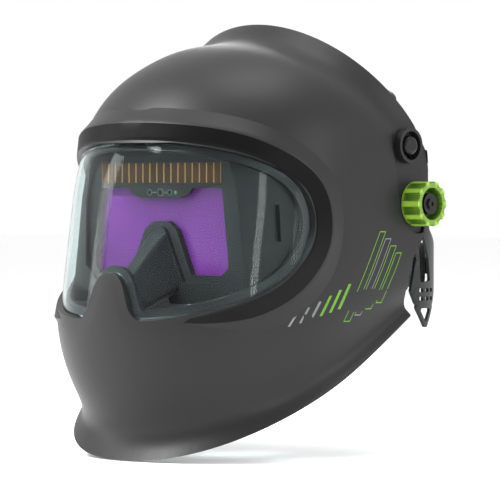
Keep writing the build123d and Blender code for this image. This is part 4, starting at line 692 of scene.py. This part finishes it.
def head_line(grow, y_from, y_to, front):
    """Points of the line round the head, grow outside the band, from the wearer's right to the left."""
    cy = BAND_FRONT_Y + BAND_X
    points = []
    if front:
        for k in range(181):
            a = math.radians(180 + k)
            points.append(((BAND_X + grow) * math.cos(a), cy + (BAND_X + grow) * math.sin(a)))
    else:
        back = BAND_BACK_Y - NAPE_R
        for k in range(91):
            a = math.radians(180 - k)
            points.append((-NAPE_FLAT + (NAPE_R + grow) * math.cos(a), back + (NAPE_R + grow) * math.sin(a)))
        for k in range(91):
            a = math.radians(90 - k)
            points.append((NAPE_FLAT + (NAPE_R + grow) * math.cos(a), back + (NAPE_R + grow) * math.sin(a)))
    fine = resample(points, 700)
    return [p for p in fine if y_from <= p[1] <= y_to]


def pad(name, node, line, inward, seams):
    """A sewn pad inside the box of its CAD node: a plump section round the line, drawn in at each seam."""
    low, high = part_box(node)
    z0, z1 = low.z / MM, high.z / MM
    height, middle = (z1 - z0) / 2 - 0.4, (z0 + z1) / 2
    count = 240
    pts = resample(line, count)
    rows = []
    for i, (x, y) in enumerate(pts):
        x0, y0 = pts[max(i - 1, 0)]
        x1, y1 = pts[min(i + 1, count - 1)]
        length = math.hypot(x1 - x0, y1 - y0)
        nx, ny = (y1 - y0) / length, -(x1 - x0) / length
        s = i / (count - 1)
        end = min(1.0, math.sin(math.pi * min(s, 1 - s) / 0.03 / 2) if min(s, 1 - s) < 0.03 else 1.0)
        end = max(0.25, end)
        pinch = max(math.exp(-(((s - q) / 0.006) ** 2)) for q in seams)
        thick = (inward / 2 - 0.25) * end * (1 - 0.42 * pinch)
        tall = height * (0.75 + 0.25 * end) * (1 - 0.035 * pinch)
        row = []
        for k in range(40):
            a = 2 * math.pi * k / 40
            c, q = math.cos(a), math.sin(a)
            across = math.copysign(abs(c) ** 0.62, c) * thick
            up = math.copysign(abs(q) ** 0.55, q) * tall
            piping = 0.30 * math.exp(-(((abs(up) - tall * 0.93) / 1.2) ** 2)) * (1 if abs(c) > 0.2 else 0)
            across = across + math.copysign(piping, across) if across else across
            across = max(-inward / 2 + 0.1, min(inward / 2 - 0.1, across))
            row.append((x + nx * across, y + ny * across, middle + up))
        rows.append(row)
    return grid_object(name, rows, closed_rows=True, caps=True)


# sweatband: the CAD pad runs from 8 mm inside the band to 0.3 mm inside it, forward of y = -30
sweat_line = head_line(-4.15, -200, -30.5, True)
sweat = pad("sweatband_pad", "sweatband", sweat_line, 7.7, [0.125, 0.25, 0.375, 0.5, 0.625, 0.75, 0.875])
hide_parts("sweatband")
place(sweat, "headgear", "cloth")
nape_low, nape_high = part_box("nape_pad")
nape_line = head_line(-7.3, nape_low.y / MM + 6.0, 200, False)
nape = pad("nape_cushion", "nape_pad", nape_line, 7.4, [0.2, 0.4, 0.6, 0.8])
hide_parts("nape_pad")
place(nape, "headgear", "cloth")


# --------------------------------------------------------------------------------------------------
# Nape straps: flexible mouldings, which bend as the size racks draw their ends together; here their mesh is
# only made finer and smooth-shaded
# --------------------------------------------------------------------------------------------------
for side, sign in (("left", 1), ("right", -1)):
    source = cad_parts[f"nape_strap_{side}"]
    bm = bmesh.new()
    bm.from_mesh(source.data)
    bmesh.ops.remove_doubles(bm, verts=bm.verts, dist=1e-6)
    for _ in range(3):
        long_edges = [e for e in bm.edges if e.calc_length() > 0.008]
        if not long_edges:
            break
        bmesh.ops.subdivide_edges(bm, edges=long_edges, cuts=1)
        bmesh.ops.triangulate(bm, faces=[f for f in bm.faces if len(f.verts) > 3])
    mesh = bpy.data.meshes.new(f"nape_webbing_{side}")
    bm.to_mesh(mesh)
    bm.free()
    mesh.materials.clear()
    mesh.materials.append(MATERIALS["headgear"])
    strap = bpy.data.objects.new(f"nape_webbing_{side}", mesh)
    bpy.context.scene.collection.objects.link(strap)
    for f in mesh.polygons:
        f.use_smooth = True
    mesh.set_sharp_from_angle(angle=math.radians(32))
    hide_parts(f"nape_strap_{side}")
    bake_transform(strap)


# --------------------------------------------------------------------------------------------------
# Stage, lights and camera
# --------------------------------------------------------------------------------------------------
def stage_material():
    """A plain pale floor, a little uneven in its tone."""
    mat = bpy.data.materials.new("studio_white")
    mat.use_nodes = True
    nt = mat.node_tree
    bsdf = nt.nodes["Principled BSDF"]
    noise = nt.nodes.new("ShaderNodeTexNoise")
    noise.inputs["Scale"].default_value = 3.0
    ramp = nt.nodes.new("ShaderNodeValToRGB")
    ramp.color_ramp.elements[0].color = (0.95, 0.95, 0.955, 1)
    ramp.color_ramp.elements[1].color = (0.985, 0.985, 0.985, 1)
    nt.links.new(noise.outputs["Fac"], ramp.inputs["Fac"])
    nt.links.new(ramp.outputs["Color"], bsdf.inputs["Base Color"])
    bsdf.inputs["Roughness"].default_value = 0.8
    return mat


floor_z = CAD_LOW.z / MM - 0.5
floor = grid_object("studio_floor", [[(x, y, floor_z) for x in (-9000, 9000)] for y in (-9000, 9000)])
floor.data.materials.append(stage_material())


AIM = (0, -0.03, -0.06)


def area_light(name, location, size, power, size_y=None):
    """A soft rectangular lamp aimed at the middle of the helmet."""
    light = bpy.data.lights.new(name, "AREA")
    light.shape = "RECTANGLE"
    light.size = size
    light.size_y = size_y or size
    light.energy = power
    obj = bpy.data.objects.new(name, light)
    obj.location = location
    obj.rotation_euler = (Vector(AIM) - Vector(location)).to_track_quat("-Z", "Y").to_euler()
    bpy.context.scene.collection.objects.link(obj)


area_light("key_upper_left", (-0.75, -1.15, 1.25), 0.6, 44)
area_light("top", (0.1, 0.1, 1.7), 1.0, 12)
area_light("right_rim", (1.7, 0.5, 0.6), 0.7, 8, size_y=1.2)
area_light("lens_strip_left", (-1.35, -0.95, 0.0), 0.30, 9, size_y=1.5)
area_light("lens_strip_side", (1.75, -0.62, 0.05), 0.18, 7, size_y=1.3)
area_light("low_back", (-0.9, 1.3, 0.6), 0.8, 8)

world = bpy.data.worlds.new("studio")
bpy.context.scene.world = world
world.use_nodes = True
world.node_tree.nodes["Background"].inputs["Color"].default_value = (1.0, 1.0, 1.0, 1)
world.node_tree.nodes["Background"].inputs["Strength"].default_value = 1.0
bpy.context.scene.view_settings.view_transform = "Standard"

AZIMUTH, ELEVATION, DISTANCE = math.radians(42), math.radians(1), 2.2
# the photograph's 500 pixels, how many of them a millimetre covers, where the cassette's middle lies in it,
# and how long a lens the perspective was solved with, in pixels
FRAME_PX, PX_PER_MM, CASSETTE_PX, FOCAL_PX = 500, 1.44, (160.5, 225.6), 3168
right = Vector((math.cos(AZIMUTH), math.sin(AZIMUTH), 0))
back = Vector((
    math.sin(AZIMUTH) * math.cos(ELEVATION), -math.cos(AZIMUTH) * math.cos(ELEVATION), math.sin(ELEVATION)
))
up = back.cross(right)
across = (FRAME_PX / 2 - CASSETTE_PX[0]) / PX_PER_MM
above = (CASSETTE_PX[1] - FRAME_PX / 2) / PX_PER_MM
target = Vector((0, -0.140, -0.056)) + (right * across + up * above) * MM
camera_data = bpy.data.cameras.new("camera")
camera_data.sensor_width = 36
camera_data.lens = camera_data.sensor_width * FOCAL_PX / FRAME_PX
camera_data.clip_start, camera_data.clip_end = 0.1, 50
camera = bpy.data.objects.new("camera", camera_data)
camera.location = target + back * DISTANCE
camera.rotation_mode = "QUATERNION"
camera.rotation_quaternion = (-back).to_track_quat("-Z", "Y")
bpy.context.scene.collection.objects.link(camera)
bpy.context.scene.camera = camera
